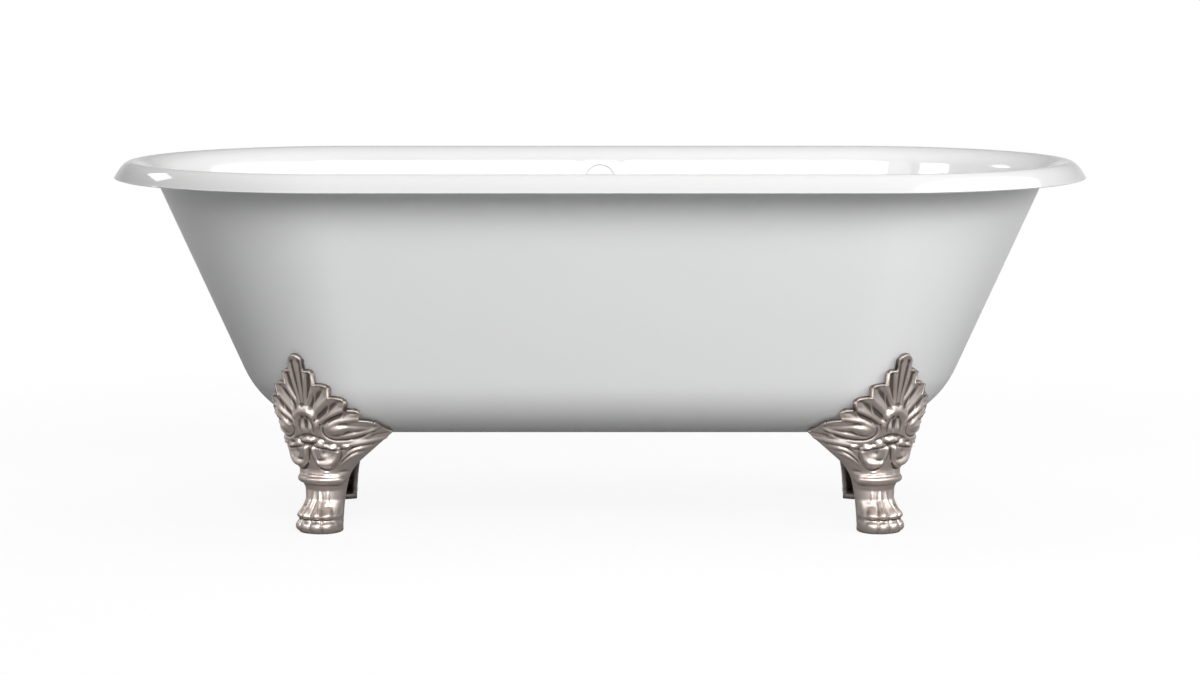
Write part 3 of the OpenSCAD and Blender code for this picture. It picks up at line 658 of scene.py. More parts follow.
class FootShape:
    """The foot in the corner where x and y are positive."""

    def __init__(self, s, bath):
        self.s, self.bath = s, bath
        ahead = unit(GLIDE_AT - STUD_AT)
        self.facing = math.atan2(ahead[0], ahead[1])
        self.axis = STUD_AT - s.reach_of_stud * ahead
        self.leg_top = bath.under - s.leg_drop
        self.leaf_step = (s.spread - WING_TURN) / s.leaves

    def level(self, turn):
        """Level direction at an angle from the way that the foot faces."""
        return np.stack([np.sin(self.facing + turn), np.cos(self.facing + turn)], -1)

    def place(self, turn, reach, z):
        """The point at an angle, a distance from the foot's axis and a height."""
        flat = self.axis + np.asarray(reach)[..., None] * self.level(turn)
        return np.concatenate([flat, np.broadcast_to(z, flat.shape[:-1])[..., None]], -1)

    def leg(self, u, h):
        """The leg's face. u runs across it from -1 to 1 and h up it from 0 to 1. Each level section falls
        from the front's reach to the back corners' as a power of u. The stations are rounded into each other
        by a weighted mean."""
        offsets = np.linspace(-0.9, 0.9, 9)
        weights = bell(offsets) / bell(offsets).sum()
        front, side, full = (sum(w * np.interp(h + STATION_BLEND * o, STATIONS[:, 0], STATIONS[:, k])
                                 for o, w in zip(offsets, weights)) for k in (1, 2, 3))
        back_depth = self.s.back_depth / MM
        back = np.hypot(side, back_depth)
        reach = front - (front - back) * np.abs(u) ** full
        return self.place(u * np.arctan2(side, back_depth), reach * MM, self.leg_top * h + 0 * u)

    def rim_z(self, u):
        """Height of the palmette's smooth rim, falling from the top leaf to the wing tips."""
        s, left = self.s, np.maximum(0, 1 - np.abs(u))
        return self.bath.under + s.wing_rise + (s.leaf_rise - s.wing_rise) * left ** RIM_FALL

    def wall_point(self, turn, z):
        """Where the bath's outer wall is met in a direction from the foot's axis."""
        turn, z = np.broadcast_arrays(np.asarray(turn, float), np.asarray(z, float))

        def outside(reach):
            """Whether a point this far from the axis is past the wall."""
            p = self.place(turn, reach, z)
            return self.bath.outside(p[..., 0], p[..., 1], z) >= 1

        return self.place(turn, halved(outside, np.zeros(turn.shape), np.full(turn.shape, WALL_REACH)), z)

    def rim(self, u):
        """The smooth rim: the bath's wall, moved out square to it by the stand-off."""
        turn, z = u * self.s.spread, self.rim_z(u)
        rise, swing = 2 * MM, math.radians(1)
        up = self.wall_point(turn, z + rise) - self.wall_point(turn, z - rise)
        across = self.wall_point(turn + swing, z) - self.wall_point(turn - swing, z)
        return self.wall_point(turn, z) + self.s.leaf_stand * unit(np.cross(up, across))

    def cut(self, turn):
        """Share of the palmette's height that is left at an angle, where the rim is cut into leaves. Each
        side leaf ends at a tip on the smooth rim and runs back from it a little above level. The top leaf
        has its own outline."""
        a, step, spread = np.degrees(np.abs(turn)), math.degrees(self.leaf_step), math.degrees(self.s.spread)
        k = np.clip(np.ceil(a / step - 0.001), 1, self.s.leaves)
        run = np.clip((k * step - a) / step, 0, 1)
        drop = (self.s.leaves + 1 - k) * LEAF_DROP
        worn = TIP_WORN * np.clip(1 - run / WORN_SHARE, 0, 1) ** 2
        z = self.rim_z(k * step / spread) - drop + LEAF_RISE * run + LEAF_BOW * np.sin(math.pi * run) - worn
        top = self.rim_z(0.0) - np.interp(a, TOP_LEAF[:, 0], TOP_LEAF[:, 1]) * MM
        z = np.where(a < TOP_LEAF[-1, 0], np.maximum(top, z), z)
        smooth = self.rim_z(a / spread)
        z = np.where(a > self.s.leaves * step, smooth, z)
        return np.minimum(1.02, (z - self.leg_top) / (smooth - self.leg_top))

    def columns(self, count):
        """Places across the foot, from -1 to 1, crowded where one leaf ends and the next begins."""
        step, spread = math.degrees(self.leaf_step), math.degrees(self.s.spread)
        flank_of_top = TOP_LEAF[-3, 0]
        notches = np.append(np.arange(1, self.s.leaves + 1) * step, flank_of_top)
        a = np.linspace(0, spread, 4001)
        crowd = 1 + sum(CROWDING * np.exp(-((a - n - CROWD_PAST) / CROWD_HALF) ** 2) for n in notches)
        total = np.concatenate([[0], np.cumsum((crowd[1:] + crowd[:-1]) / 2)])
        half = np.interp(np.linspace(0, total[-1], count), total, a) / spread
        return np.concatenate([-half[:0:-1], half])

    def face(self, u, leg_rows, palm_rows):
        """The plain face as a grid of columns and rows. The palmette runs straight from the leg's top to the
        cut rim, with rows that close up just below the cut, and the bend where they meet is rounded by a
        weighted mean along each column."""
        leg = self.leg(u[:, None], leg_rows[None])
        low, top = self.leg(u, np.ones_like(u)), self.rim(u)
        cut = self.cut(u * self.s.spread)[:, None]
        start = cut - NOTCH_REACH
        closed = start + (palm_rows[None] - start) * NOTCH_REACH / (1 - start)
        share = np.where(palm_rows[None] < start, palm_rows[None], closed)
        palm = low[:, None] + (top - low)[:, None] * share[..., None]
        grid = np.concatenate([leg, palm], 1)
        run = np.concatenate([leg_rows * self.leg_top, self.leg_top + palm_rows * PALM_RUN])
        bend = np.abs(run - self.leg_top)
        soft = BEND_SOFT * np.clip(1 - bend / BEND_REACH, 0.02, 1)
        mix = np.exp(-((run[:, None] - run[None]) / soft[:, None]) ** 2)
        mix[0] = 0
        mix[0, 0] = 1
        mix /= mix.sum(1, keepdims=True)
        return np.einsum("ij,cjk->cik", mix, grid)


# The carving, on a chart of degrees from the foot's middle and millimetres above the floor. It is the same
# on both sides of the middle. A stroke is a path of stations, each with its degrees and height, its half
# width on the chart and how far it rises over the face or, below zero, sinks into it.

SCOOPS = [
    [(2.9, 306, 3.0, -0.6), (2.9, 290, 4.0, -1.7), (2.4, 262, 3.4, -1.8), (1.6, 234, 2.4, -1.0)],
    [(9.4, 283, 5.0, -1.8), (8.2, 268, 6.0, -3.0), (6.4, 249, 4.6, -3.0), (4.6, 232, 3.0, -1.8)],
    [(19.4, 258, 6.0, -2.0), (16.8, 250, 8.0, -3.8), (11.6, 235, 6.2, -3.6), (6.8, 220, 3.8, -2.0)],
    [(32, 236, 6.0, -2.0), (28, 230, 8.4, -4.0), (18.6, 213.5, 6.6, -3.8), (10.8, 201, 3.8, -2.0)],
    [(44, 216, 5.0, -2.0), (38, 213.5, 7.2, -3.6), (26, 204.5, 6.2, -3.4), (15, 194, 3.8, -2.0)],
    [(62, 190, 4.0, -1.4), (52, 191.5, 4.6, -2.2), (42, 193.5, 4.4, -1.8), (34, 194, 3.4, -1.0)],
    [(74, 177, 4.0, -1.4), (64, 173, 4.2, -1.8)],
]
RIDGES = [
    [(5.4, 288, 3.2, 1.4), (5.6, 274, 3.8, 3.0), (5.2, 256, 3.2, 2.4), (3.4, 231, 2.4, 1.2)],
    [(13.4, 268, 3.4, 1.4), (12.2, 258, 4.4, 3.2), (8.6, 243, 4.2, 3.0), (4.4, 231, 3.0, 1.4)],
    [(25.6, 246, 3.6, 1.4), (20.5, 234, 5.6, 3.8), (13.4, 219, 5.2, 3.6), (9.2, 208, 3.6, 1.8)],
    [(38.5, 224.5, 3.6, 1.4), (31, 218, 6.0, 4.2), (20, 203, 5.4, 4.0), (11.5, 190.5, 3.6, 1.8)],
    [(52, 206, 3.2, 1.2), (44, 204.5, 4.4, 3.0), (34, 201, 4.4, 3.2), (26, 196, 3.8, 2.6),
     (20.5, 188, 3.0, 1.4)],
]
SPLITS = [
    [(24, 239, 1.2, -0.5), (14, 220, 1.5, -1.4), (9.6, 209, 1.1, -0.6)],
    [(34, 220.5, 1.2, -0.5), (20.5, 204, 1.5, -1.4), (13, 192, 1.1, -0.6)],
    [(5.3, 272, 1.0, -0.4), (4.6, 252, 1.2, -0.9), (3.4, 234, 1.0, -0.4)],
]
HOOD = [
    [(0, 218, 11.5, 6.6), (4.2, 217, 11.0, 6.8), (8.0, 211, 9.4, 7.0), (10.4, 201, 7.4, 5.6),
     (11.2, 190, 5.6, 3.6), (10.2, 179, 4.6, 1.6)],
]
DROPS = [
    [(3.2, 200, 2.6, 1.4), (3.7, 192, 4.2, 3.6), (4.2, 185, 4.6, 4.6), (4.8, 179, 3.2, 2.6)],
]
LEAF_FOLDS = [
    [(64, 184.5, 3.4, 1.6), (57, 181, 5.0, 3.4), (47, 176.5, 5.4, 3.6), (37, 172.5, 5.0, 2.6),
     (29, 170, 4.0, 1.2)],
    [(77, 168, 3.6, 1.6), (68, 164.5, 6.0, 3.8), (57, 161.5, 7.0, 5.0), (48, 158, 5.8, 3.8),
     (42, 156, 4.0, 1.8)],
    [(67, 149.5, 2.8, 1.2), (57, 149.8, 4.0, 2.6), (48, 145, 4.2, 3.0), (39, 132, 3.6, 2.2),
     (34, 122, 2.8, 1.0)],
    [(62, 138.5, 2.6, 1.0), (53, 138, 3.8, 2.8), (43, 129, 3.8, 2.8), (36, 119, 3.0, 1.4)],
]
LEAF_CREASES = [
    [(67, 187, 2.2, -0.8), (58, 172.5, 3.8, -2.8), (48, 167, 4.0, -3.0), (36, 164.5, 3.6, -2.6),
     (26.5, 166, 3.2, -2.2), (19.5, 172, 3.0, -2.2), (17, 181, 2.8, -2.0), (18, 189, 2.2, -0.8)],
    [(69, 155.5, 3.0, -1.6), (58, 155, 4.0, -2.4), (49, 151.5, 3.6, -2.0), (44, 146, 3.0, -1.0)],
    [(62, 143.5, 2.6, -1.2), (53, 143.6, 3.2, -2.0), (45, 137, 3.2, -2.0), (38, 125, 2.8, -1.0)],
]
SCROLL_LIP = [
    [(5.6, 126, 5.0, 1.4), (10, 124.5, 7.4, 4.6), (16, 124, 9.4, 7.0), (23, 126, 9.8, 7.4),
     (28.5, 131, 8.0, 5.4), (32, 140, 5.6, 2.2), (33, 150, 4.0, 0.8)],
    [(4.4, 152, 4.4, 2.2), (4.6, 142, 5.6, 3.8), (6.0, 132, 5.6, 3.0), (9, 126, 4.6, 1.4)],
    [(13, 152, 3.6, 0.8), (13.4, 143, 4.0, 1.8), (14.4, 136, 3.6, 0.8)],
]
ANKLE_RING = [
    [(0, 91, 8.5, 3.6), (20, 90.8, 8.5, 3.8), (30, 90.2, 8, 4.4), (38, 90, 7.5, 4.6), (46, 90, 5, 0.3)],
    [(0, 100, 2.8, 1.8), (14, 99.8, 2.8, 1.8), (28, 99.2, 2.6, 1.6), (38, 98.8, 2.4, 0.5)],
]
ANKLE_GROOVE = [
    [(0, 96.6, 1.4, -1.2), (14, 96.4, 1.4, -1.2), (30, 96, 1.4, -0.8)],
    [(34, 106, 4.0, -0.6), (42, 107, 6.0, -2.4), (52, 107, 6.0, -1.0)],
]
TOE_GAPS = [
    [(0, -2, 3.4, -1.8), (0, 12, 3.4, -2.2), (0, 23, 3.2, -1.8)],
    [(13.6, -2, 3.4, -1.8), (13.5, 12, 3.4, -2.2), (13.2, 23, 3.2, -1.8)],
    [(0, 24, 3.4, -1.8), (0.2, 40, 4.0, -2.2), (0, 56, 3.4, -1.6), (0, 69, 2.6, -0.4)],
    [(13.2, 24, 3.4, -1.8), (12.1, 42, 3.6, -2.2), (10.2, 56, 3.2, -1.6), (8.6, 68, 2.4, -0.4)],
    [(0, 24.6, 3.0, -1.5), (14, 24.2, 3.0, -1.6), (25, 24.4, 2.8, -1.2), (30, 24.6, 2.4, -0.2)],
    [(1, 20.2, 1.2, -0.5), (12, 19.9, 1.2, -0.5), (22, 20.1, 1.2, -0.1)],
    [(13.5, 46.4, 2.2, -0.2), (17, 46.4, 2.4, -1.2), (22, 46.2, 2.2, -0.9), (28, 45.8, 2.0, -0.1)],
]
TENDONS = [
    [(7.0, 30, 6.0, 2.2), (6.4, 45, 5.4, 2.6), (5.0, 60, 4.2, 1.8), (4.0, 73, 3.2, 0.4)],
    [(10.8, 27, 2.0, 0.5), (9.6, 45, 2.0, 0.8), (7.6, 62, 1.8, 0.3)],
    [(17.5, 74, 5.0, 0.1), (17, 63, 7.0, 1.6), (17, 54, 6.5, 1.4), (17, 48, 5.0, 0.2)],
]
# A boss is a round swelling: its middle, its half size across and up, and its rise or, below zero, its depth
LEAF_BOSSES = [((30, 186), (19, 14), 7.6), ((46, 190), (24, 9), 2.8)]
HOOD_BOSSES = [((0, 195), (11, 15), -3.4), ((3.6, 225), (6, 5), 1.2), ((0, 314), (12, 8), 2.6)]
PAW_BOSSES = [
    ((20, 145), (16, 11), -4.6), ((17, 105), (10, 4), 1.8), ((12, 112), (10, 4), -1.2),
    ((6.8, 12), (10.4, 14), 2.4), ((21, 12), (11.6, 14), 2.4), ((6.8, 33), (9.8, 11), 2.6),
    ((20, 33.5), (11, 12), 2.6),
]
BEADS = [
    ((0, 166), (9.5, 6.4), 6.0), ((5.6, 165.2), (5.5, 5.4), 4.0), ((13.4, 160.5), (8.2, 6.4), 5.6),
    ((26.4, 154.6), (9.8, 5.0), 4.6), ((40.2, 154.6), (7.6, 4.8), 4.2),
]
BEAD_CURLS = [
    [(9.6, 157.6, 1.3, -1.0), (9.8, 163.4, 1.5, -1.5), (13.4, 165.3, 1.5, -1.5), (16.6, 162.4, 1.4, -1.4),
     (15.4, 158.8, 1.3, -1.1), (12.6, 159.8, 1.2, -0.7)],
    [(21, 155.4, 1.2, -0.7), (26.4, 156, 1.3, -1.0), (32, 154.8, 1.2, -0.7)],
]
BEAD_GROOVES = [
    [(0, 157.6, 2.8, -2.4), (10, 153, 2.8, -2.4), (26, 148.2, 2.6, -2.0), (41, 148.4, 2.4, -1.4)],
    [(0, 174.4, 2.6, -1.4), (10, 171.5, 2.6, -1.4), (19, 165.5, 2.4, -1.2)],
]
# The outline of the lobe that hangs over the leg
LOBE = [(0.5, 153), (0.7, 144), (2.4, 134), (5.2, 125), (9, 117), (13.5, 112), (19, 110), (25, 111.5),
        (31, 117), (35.5, 127), (37, 140), (36.5, 154), (20, 160), (6, 161)]
# The width of its rounded edge, and its rise
LOBE_EDGE, LOBE_RISE = 7.5, 4.6
# The raised hem along the leaves' cut edge: its rise and half width, and the heights over which it starts
HEM_RISE, HEM_HALF, HEM_FROM, HEM_FULL = 1.5, 3.6, 186, 196
# Below this height no groove of the paw is deeper than the second number
PAW_TOP, PAW_DEPTH = 80, 2.2
# The paw's lowest edge is rounded over this height, to this depth
PAW_EDGE_HEIGHT, PAW_EDGE_DEPTH = 5, 3


def smoothed(path, rounds=2):
    """A path with its corners cut twice, and its degrees turned to chart millimetres."""
    path = np.array(path, float)
    path[:, 0] *= CHART
    for _ in range(rounds):
        cut = np.stack([0.75 * path[:-1] + 0.25 * path[1:], 0.25 * path[:-1] + 0.75 * path[1:]], 1)
        path = np.concatenate([path[:1], cut.reshape(-1, path.shape[1]), path[-1:]])
    return path


def from_path(p, path):
    """Distance of each chart point from a path, and the path's stations at its nearest point."""
    start, step = path[:-1], np.diff(path, axis=0)
    rel = p[:, None] - start[None, :, :2]
    t = np.clip((rel * step[:, :2]).sum(-1) / (step[:, :2] ** 2).sum(1), 0, 1)
    gap = np.linalg.norm(rel - t[..., None] * step[:, :2], axis=-1)
    pick = gap.argmin(1)
    rows = np.arange(len(p))
    return gap[rows, pick], start[pick] + t[rows, pick][:, None] * step[pick]


def within(p, loop):
    """Whether each chart point lies in a closed outline, by counting the sides to its right."""
    a, b = loop, np.roll(loop, -1, 0)
    spans = (a[:, 1] > p[:, None, 1]) != (b[:, 1] > p[:, None, 1])
    rise = np.where(b[:, 1] == a[:, 1], 1, b[:, 1] - a[:, 1])
    cross = a[:, 0] + (b[:, 0] - a[:, 0]) * (p[:, None, 1] - a[:, 1]) / rise
    return (spans & (p[:, None, 0] < cross)).sum(1) % 2 == 1


def crown(t):
    """A round swelling with a crisp foot: a quarter wave of the cosine."""
    return np.cos(np.clip(t, 0, 1) * math.pi / 2)


def carving(turn, z, rim):
    """Height of the carving over the plain face, in metres, at angles and heights. rim is the line of the
    cut edge on the chart. Strokes are added in the order in which a carver would cut them, and the lobe
    first flattens what it lies on."""
    p = np.stack([np.abs(np.degrees(turn)) * CHART, z / MM], -1).reshape(-1, 2)
    height = np.zeros(len(p))

    def stroke(paths, shape):
        """Adds each path's own rise, shaped over the gap to it as a share of its half width."""
        for path in paths:
            gap, near = from_path(p, smoothed(path))
            height[:] += near[:, 3] * shape(gap / near[:, 2])

    def swell(bosses, shape):
        """Adds each boss's rise, shaped over the distance from its middle as a share of its half sizes."""
        for (a, up), (across, tall), rise in bosses:
            height[:] += rise * shape(np.hypot((p[:, 0] - a * CHART) / across, (p[:, 1] - up) / tall))

    stroke(SCOOPS, bell)
    stroke(RIDGES, bell)
    stroke(SPLITS, bell)
    swell(LEAF_BOSSES, bell)
    stroke(LEAF_CREASES, bell)
    stroke(LEAF_FOLDS, bell)
    edge_gap, _ = from_path(p, rim)
    height += HEM_RISE * bell(edge_gap / HEM_HALF) * ease((p[:, 1] - HEM_FROM) / (HEM_FULL - HEM_FROM))
    stroke(HOOD, bell)
    swell(HOOD_BOSSES, bell)
    stroke(DROPS, crown)
    loop = smoothed(LOBE + LOBE[:1])
    gap, _ = from_path(p, loop)
    depth = np.where(within(p, loop), gap, 0) / LOBE_EDGE
    height *= 1 - ease(2 * depth)
    height += LOBE_RISE * np.sin(np.minimum(depth, 1) * math.pi / 2)
    stroke(SCROLL_LIP, bell)
    swell(PAW_BOSSES, bell)
    stroke(BEAD_GROOVES, bell)
    swell(BEADS, crown)
    stroke(BEAD_CURLS, bell)
    stroke(ANKLE_RING, crown)
    stroke(ANKLE_GROOVE, bell)
    stroke(TENDONS, bell)
    stroke(TOE_GAPS, bell)
    height = np.where(p[:, 1] < PAW_TOP, np.maximum(height, -PAW_DEPTH), height)
    height -= PAW_EDGE_DEPTH * (1 - np.sqrt(1 - np.clip(1 - p[:, 1] / PAW_EDGE_HEIGHT, 0, 1) ** 2))
    return (height * MM).reshape(turn.shape)


def blurred(grid, reach):
    """Mean of a grid's values over a square of neighbours."""
    for axis in (0, 1):
        last = grid.shape[axis] - 1
        steps = np.arange(last + 1)
        grid = sum(np.take(grid, np.clip(steps + o, 0, last), axis) for o in range(-reach, reach + 1))
        grid = grid / (2 * reach + 1)
    return grid


def grid_normals(grid):
    """Directions square to a grid, from its slopes along both ways."""
    return unit(np.cross(np.gradient(grid, axis=0), np.gradient(grid, axis=1)))


# A point this far below its surroundings gets the full patina colour: tarnish and painted shade in the
# hollow
FULL_HOLLOW = 1.1 * MM
# How far the back is mixed towards the patina colour, how much painted shade each turned edge gains towards
# the back, and how far the plates are mixed towards the patina colour
BACK_DULL, EDGE_PAINTED_SHADE, PLATE_DULL = 0.6, 1.2, 0.5


def edge_line(grid):
    """A grid's two sides and its top as one line, from the foot of one side to the foot of the other."""
    return np.concatenate([grid[0], grid[1:, -1], grid[-1, -2::-1]])


def foot_skin(s, bath):
    """The foot's casting: the carved face, its turned edges and its plain back, with the sole, the levelling
    boss and the fixing shelf inside it."""
    shape, skin, share = FootShape(s, bath), Skin(), BACK_SHARE
    u = shape.columns(FOOT_COLUMNS)
    grid = shape.face(u, np.linspace(0, 1, LEG_ROWS), np.linspace(0, 1, PALM_ROWS + 1)[1:])
    out = grid_normals(grid)
    mid, shin = len(u) // 2, LEG_ROWS // 2
    middle = grid[mid, shin]
    out *= np.sign(np.dot(out[mid, shin], middle - np.append(shape.axis, middle[2])))
    flat = grid[..., :2] - shape.axis
    turn = np.arctan2(flat[..., 0], flat[..., 1]) - shape.facing
    chart = np.stack([np.abs(np.degrees(turn[:, -1])) * CHART, grid[:, -1, 2] / MM], -1)[mid:]
    height = blurred(carving(turn, grid[..., 2], chart), 1)
    face = grid + height[..., None] * out
    face[:, 0, 2] = 0
    # Depth of each point below its blurred surroundings. It darkens the metal there as tarnish and painted
    # shade
    hollow = np.clip((blurred(height, 4) - height) / FULL_HOLLOW, 0, 1)

    n = skin.add(face, hollow)
    skin.sheet(n)
    normals = grid_normals(face)
    normals = edge_line(normals * np.sign((normals * out).sum(-1, keepdims=True)))
    line, inner_line = edge_line(face), np.concatenate([face[3], face[1:, -4], face[-4, -2::-1]])
    away = unit(np.cross(np.gradient(line, axis=0), normals))
    away *= np.sign((away * (line - inner_line)).sum(-1, keepdims=True))
    for _ in range(3):
        away[1:-1] = away[:-2] / 4 + away[1:-1] / 2 + away[2:] / 4
        away = unit(away)
    turned = line + (EDGE[:, :1, None] * away - EDGE[:, 1:, None] * normals) * MM
    turned[:, [0, -1], 2] = 0
    # Painted shade on the turned edges grows towards the back, on top of the hollows' tarnish and painted
    # shade
    edge_tarnish_and_shade = np.minimum(1, edge_line(hollow)[None] + np.linspace(0, EDGE_PAINTED_SHADE, len(EDGE))[:, None])
    strip = np.concatenate([edge_line(n)[None], skin.add(turned, edge_tarnish_and_shade)])
    skin.sheet(strip, flip=True)

    back = grid[::share, ::share] - s.wall * out[::share, ::share]
    back[:, 0, 2] = 0
    b = skin.add(back, BACK_DULL)
    skin.sheet(b, flip=True)
    skin.stitch(strip[-1], edge_line(b), share, flip=True)
    skin.stitch(n[:, 0], b[:, 0], share)
    skin.lid(np.append(strip[:, 0], b[0, 0]), flip=True)
    skin.lid(np.append(strip[:, -1], b[-1, 0]))
    fill_foot(skin, shape)
    return skin


def plate(skin, middle, outline, rows, value):
    """A plate with a turned hole. Each ring is either round, with a radius, or follows the outline, set in
    by a distance: rows give which of the two, the distance and the height."""
    turn = turns(120, -math.pi)
    flat = outline - middle
    angle = np.arctan2(flat[:, 1], flat[:, 0])
    order = np.argsort(angle)
    reach = np.interp(turn, angle[order], np.linalg.norm(flat, axis=1)[order], period=2 * math.pi)
    profile = [(d if hole else reach - d, z) for hole, d, z in rows]
    skin.ring(np.stack(upright_rings(middle, turn, profile)), value)


def dense(corners, steps=24):
    """Points along the sides of a closed outline."""
    f = np.arange(steps)[None, :, None] / steps
    return (corners[:, None] * (1 - f) + np.roll(corners, -1, 0)[:, None] * f).reshape(-1, 2)


# The sole: how thick it is, how far it lies behind the face, and at what share of the leg's height it is cut
SOLE_THICK, SOLE_INSET, SOLE_CUT = 9.6 * MM, 3 * MM, 0.03
# The levelling boss on it, and the glide's recess and the screw's bore under it
BOSS_R, BOSS_TOP, RECESS_R, RECESS_TOP, BORE_R = 17 * MM, 24 * MM, 14 * MM, 10 * MM, 5 * MM
# The shelf under the bath's pad: its thickness, its hole for the stud and half its angle at the front
SHELF_THICK, SHELF_HOLE_R, SHELF_TURN = 12 * MM, 5.5 * MM, math.radians(22)
# How far the shelf lies behind the face and before the open back, half its width there, and where it meets
# the face below the pad
SHELF_INSET, SHELF_BACK, SHELF_HALF, SHELF_DROP = 4 * MM, 3 * MM, 30 * MM, 6 * MM
# The round of both plates' edges, and how far above the floor the sole's face lies
PLATE_SOFT, SOLE_CLEAR = 0.8 * MM, 0.02 * MM


def fill_foot(skin, shape):
    """What the hollow foot holds: the sole with the glide's recess, the tapped boss on it, and the shelf."""
    soft, u = PLATE_SOFT, np.linspace(-1, 1, 25)
    sole = dense(shape.leg(u, np.full_like(u, SOLE_CUT))[:, :2] - shape.level(0 * u) * SOLE_INSET)
    plate(skin, GLIDE_AT, sole, [
        (True, BORE_R, RECESS_TOP), (True, RECESS_R - soft, RECESS_TOP), (True, RECESS_R, RECESS_TOP - soft),
        (True, RECESS_R, soft), (True, RECESS_R + soft, SOLE_CLEAR), (False, soft, SOLE_CLEAR),
        (False, 0, soft), (False, 0, SOLE_THICK - soft), (False, soft, SOLE_THICK),
        (True, BOSS_R + 3 * soft, SOLE_THICK), (True, BOSS_R + soft, SOLE_THICK + soft),
        (True, BOSS_R, SOLE_THICK + 3 * soft), (True, BOSS_R, BOSS_TOP - soft),
        (True, BOSS_R - soft, BOSS_TOP), (True, BORE_R + soft, BOSS_TOP), (True, BORE_R, BOSS_TOP - soft)],
        PLATE_DULL)

    top, low, hole = PAD_LOW, PAD_LOW - SHELF_THICK, SHELF_HOLE_R
    share = (top - SHELF_DROP - shape.leg_top) / (shape.rim_z(0.0) - shape.leg_top)
    u = np.linspace(-SHELF_TURN, SHELF_TURN, 13) / shape.s.spread
    leg, rim = shape.leg(u, np.ones_like(u)), shape.rim(u)
    front = (leg + (rim - leg) * share)[:, :2] - shape.level(0) * SHELF_INSET
    rear = shape.axis + shape.level(0) * (shape.s.back_depth - SHELF_BACK)
    across = shape.level(math.pi / 2)
    shelf = dense(np.concatenate([front, [rear + SHELF_HALF * across, rear - SHELF_HALF * across]]))
    plate(skin, STUD_AT, shelf, [
        (True, hole, low + soft), (True, hole + soft, low), (False, soft, low), (False, 0, low + soft),
        (False, 0, top - soft), (False, soft, top), (True, hole + soft, top), (True, hole, top - soft)],
        PLATE_DULL)


def mirrored(skin, sx, sy):
    """The same surfaces in another corner, turned right side out again where one mirror was used."""
    other = Skin()
    other.points = [p * [sx, sy, 1] for p in skin.points]
    other.values, other.count = skin.values, skin.count
    other.faces = [f[:, ::-1] if sx * sy < 0 else f for f in skin.faces]
    return other


# Materials

class Signal:
    """A socket of a node that Python's arithmetic works on. Each operator adds one Math node."""

    def __init__(self, wiring, socket):
        self.wiring, self.socket = wiring, socket

    def __add__(self, other):
        return self.wiring.math("ADD", self, other)

    def __sub__(self, other):
        return self.wiring.math("SUBTRACT", self, other)

    def __rsub__(self, other):
        return self.wiring.math("SUBTRACT", other, self)

    def __mul__(self, other):
        return self.wiring.math("MULTIPLY", self, other)

    __radd__ = __add__
    __rmul__ = __mul__


class Wiring:
    """The nodes of one new material, or of one new world."""

    def __init__(self, name, among="materials"):
        self.owner = getattr(bpy.data, among).new(name)
        self.owner.use_nodes = True
        self.tree = self.owner.node_tree
        self.tree.nodes.clear()

    def node(self, kind, settings=None, inputs=None, output=0):
        """Adds a node and gives one of its outputs, by name or number. Its settings are made first, then the
        values or links of its sockets."""
        made = self.tree.nodes.new(kind)
        for key, value in (settings or {}).items():
            setattr(made, key, value)
        for key, value in (inputs or {}).items():
            if isinstance(value, Signal):
                self.tree.links.new(value.socket, made.inputs[key])
            else:
                made.inputs[key].default_value = value
        return Signal(self, made.outputs[output]) if len(made.outputs) else made

    def math(self, operation, *values):
        """One step of arithmetic on its values."""
        return self.node("ShaderNodeMath", {"operation": operation}, dict(enumerate(values)))

    def blend(self, factor, first, second):
        """Mixes two colours."""
        return self.node("ShaderNodeMix", {"data_type": "RGBA"}, {0: factor, 6: first, 7: second}, 2)

    def band(self, value, low, high):
        """0 below low and 1 above high, with a smooth step between them."""
        return self.node("ShaderNodeMapRange", {"interpolation_type": "SMOOTHSTEP"},
                         {"Value": value, "From Min": low, "From Max": high})

    def noise(self, scale, detail=3.0, roughness=0.5):
        """Clouds in space, scale of them to a metre."""
        place = self.node("ShaderNodeTexCoord", output="Object")
        return self.node("ShaderNodeTexNoise", {}, {
            "Vector": place, "Scale": scale, "Detail": detail, "Roughness": roughness})

    def bump(self, height, distance, strength=1.0, under=None):
        """A normal tilted by a height, of 1 to a distance, over another bump."""
        inputs = {"Height": height, "Distance": distance, "Strength": strength}
        if under:
            inputs["Normal"] = under
        return self.node("ShaderNodeBump", {}, inputs)

    def attribute(self, name):
        """A value that is stored at the mesh's points."""
        return self.node("ShaderNodeAttribute", {"attribute_name": name}, output="Fac")

    def finish(self, **sockets):
        """Closes the material with a Principled shader. Underscores in the names stand for spaces."""
        inputs = {name.replace("_", " "): value for name, value in sockets.items()}
        shader = self.node("ShaderNodeBsdfPrincipled", {}, inputs)
        self.node("ShaderNodeOutputMaterial", {}, {"Surface": shader})
        return self.owner


def rgba(colour):
    """An opaque colour from red, green and blue, or from one grey."""
    return (*colour, 1.0) if np.ndim(colour) else (colour, colour, colour, 1.0)


def enamel_and_paint(s):
    """Gloss vitreous enamel where the enamel attribute is 1, and satin paint on rough iron where it is 0."""
    w = Wiring("enamel_and_paint")
    gloss = w.band(w.attribute("enamel"), 0.3, 0.7)
    colour = w.blend(gloss, rgba(s.paint), rgba(s.enamel))
    grain = w.noise(420.0, 4.0, 0.6)
    flow = w.noise(9.0, 2.0)
    rough = w.noise(60.0, 3.0)
    cast = w.bump(grain * (1.0 - gloss), 0.25 * MM, 0.35)
    waves = w.bump(flow * gloss, 1.5 * MM, 0.12, cast)
    roughness = 0.4 - 0.33 * gloss + 0.06 * rough * (1.0 - gloss)
    return w.finish(Base_Color=colour, Roughness=roughness, Normal=waves, Coat_Weight=gloss * 0.6,
                    Coat_Roughness=0.03, IOR=1.5)


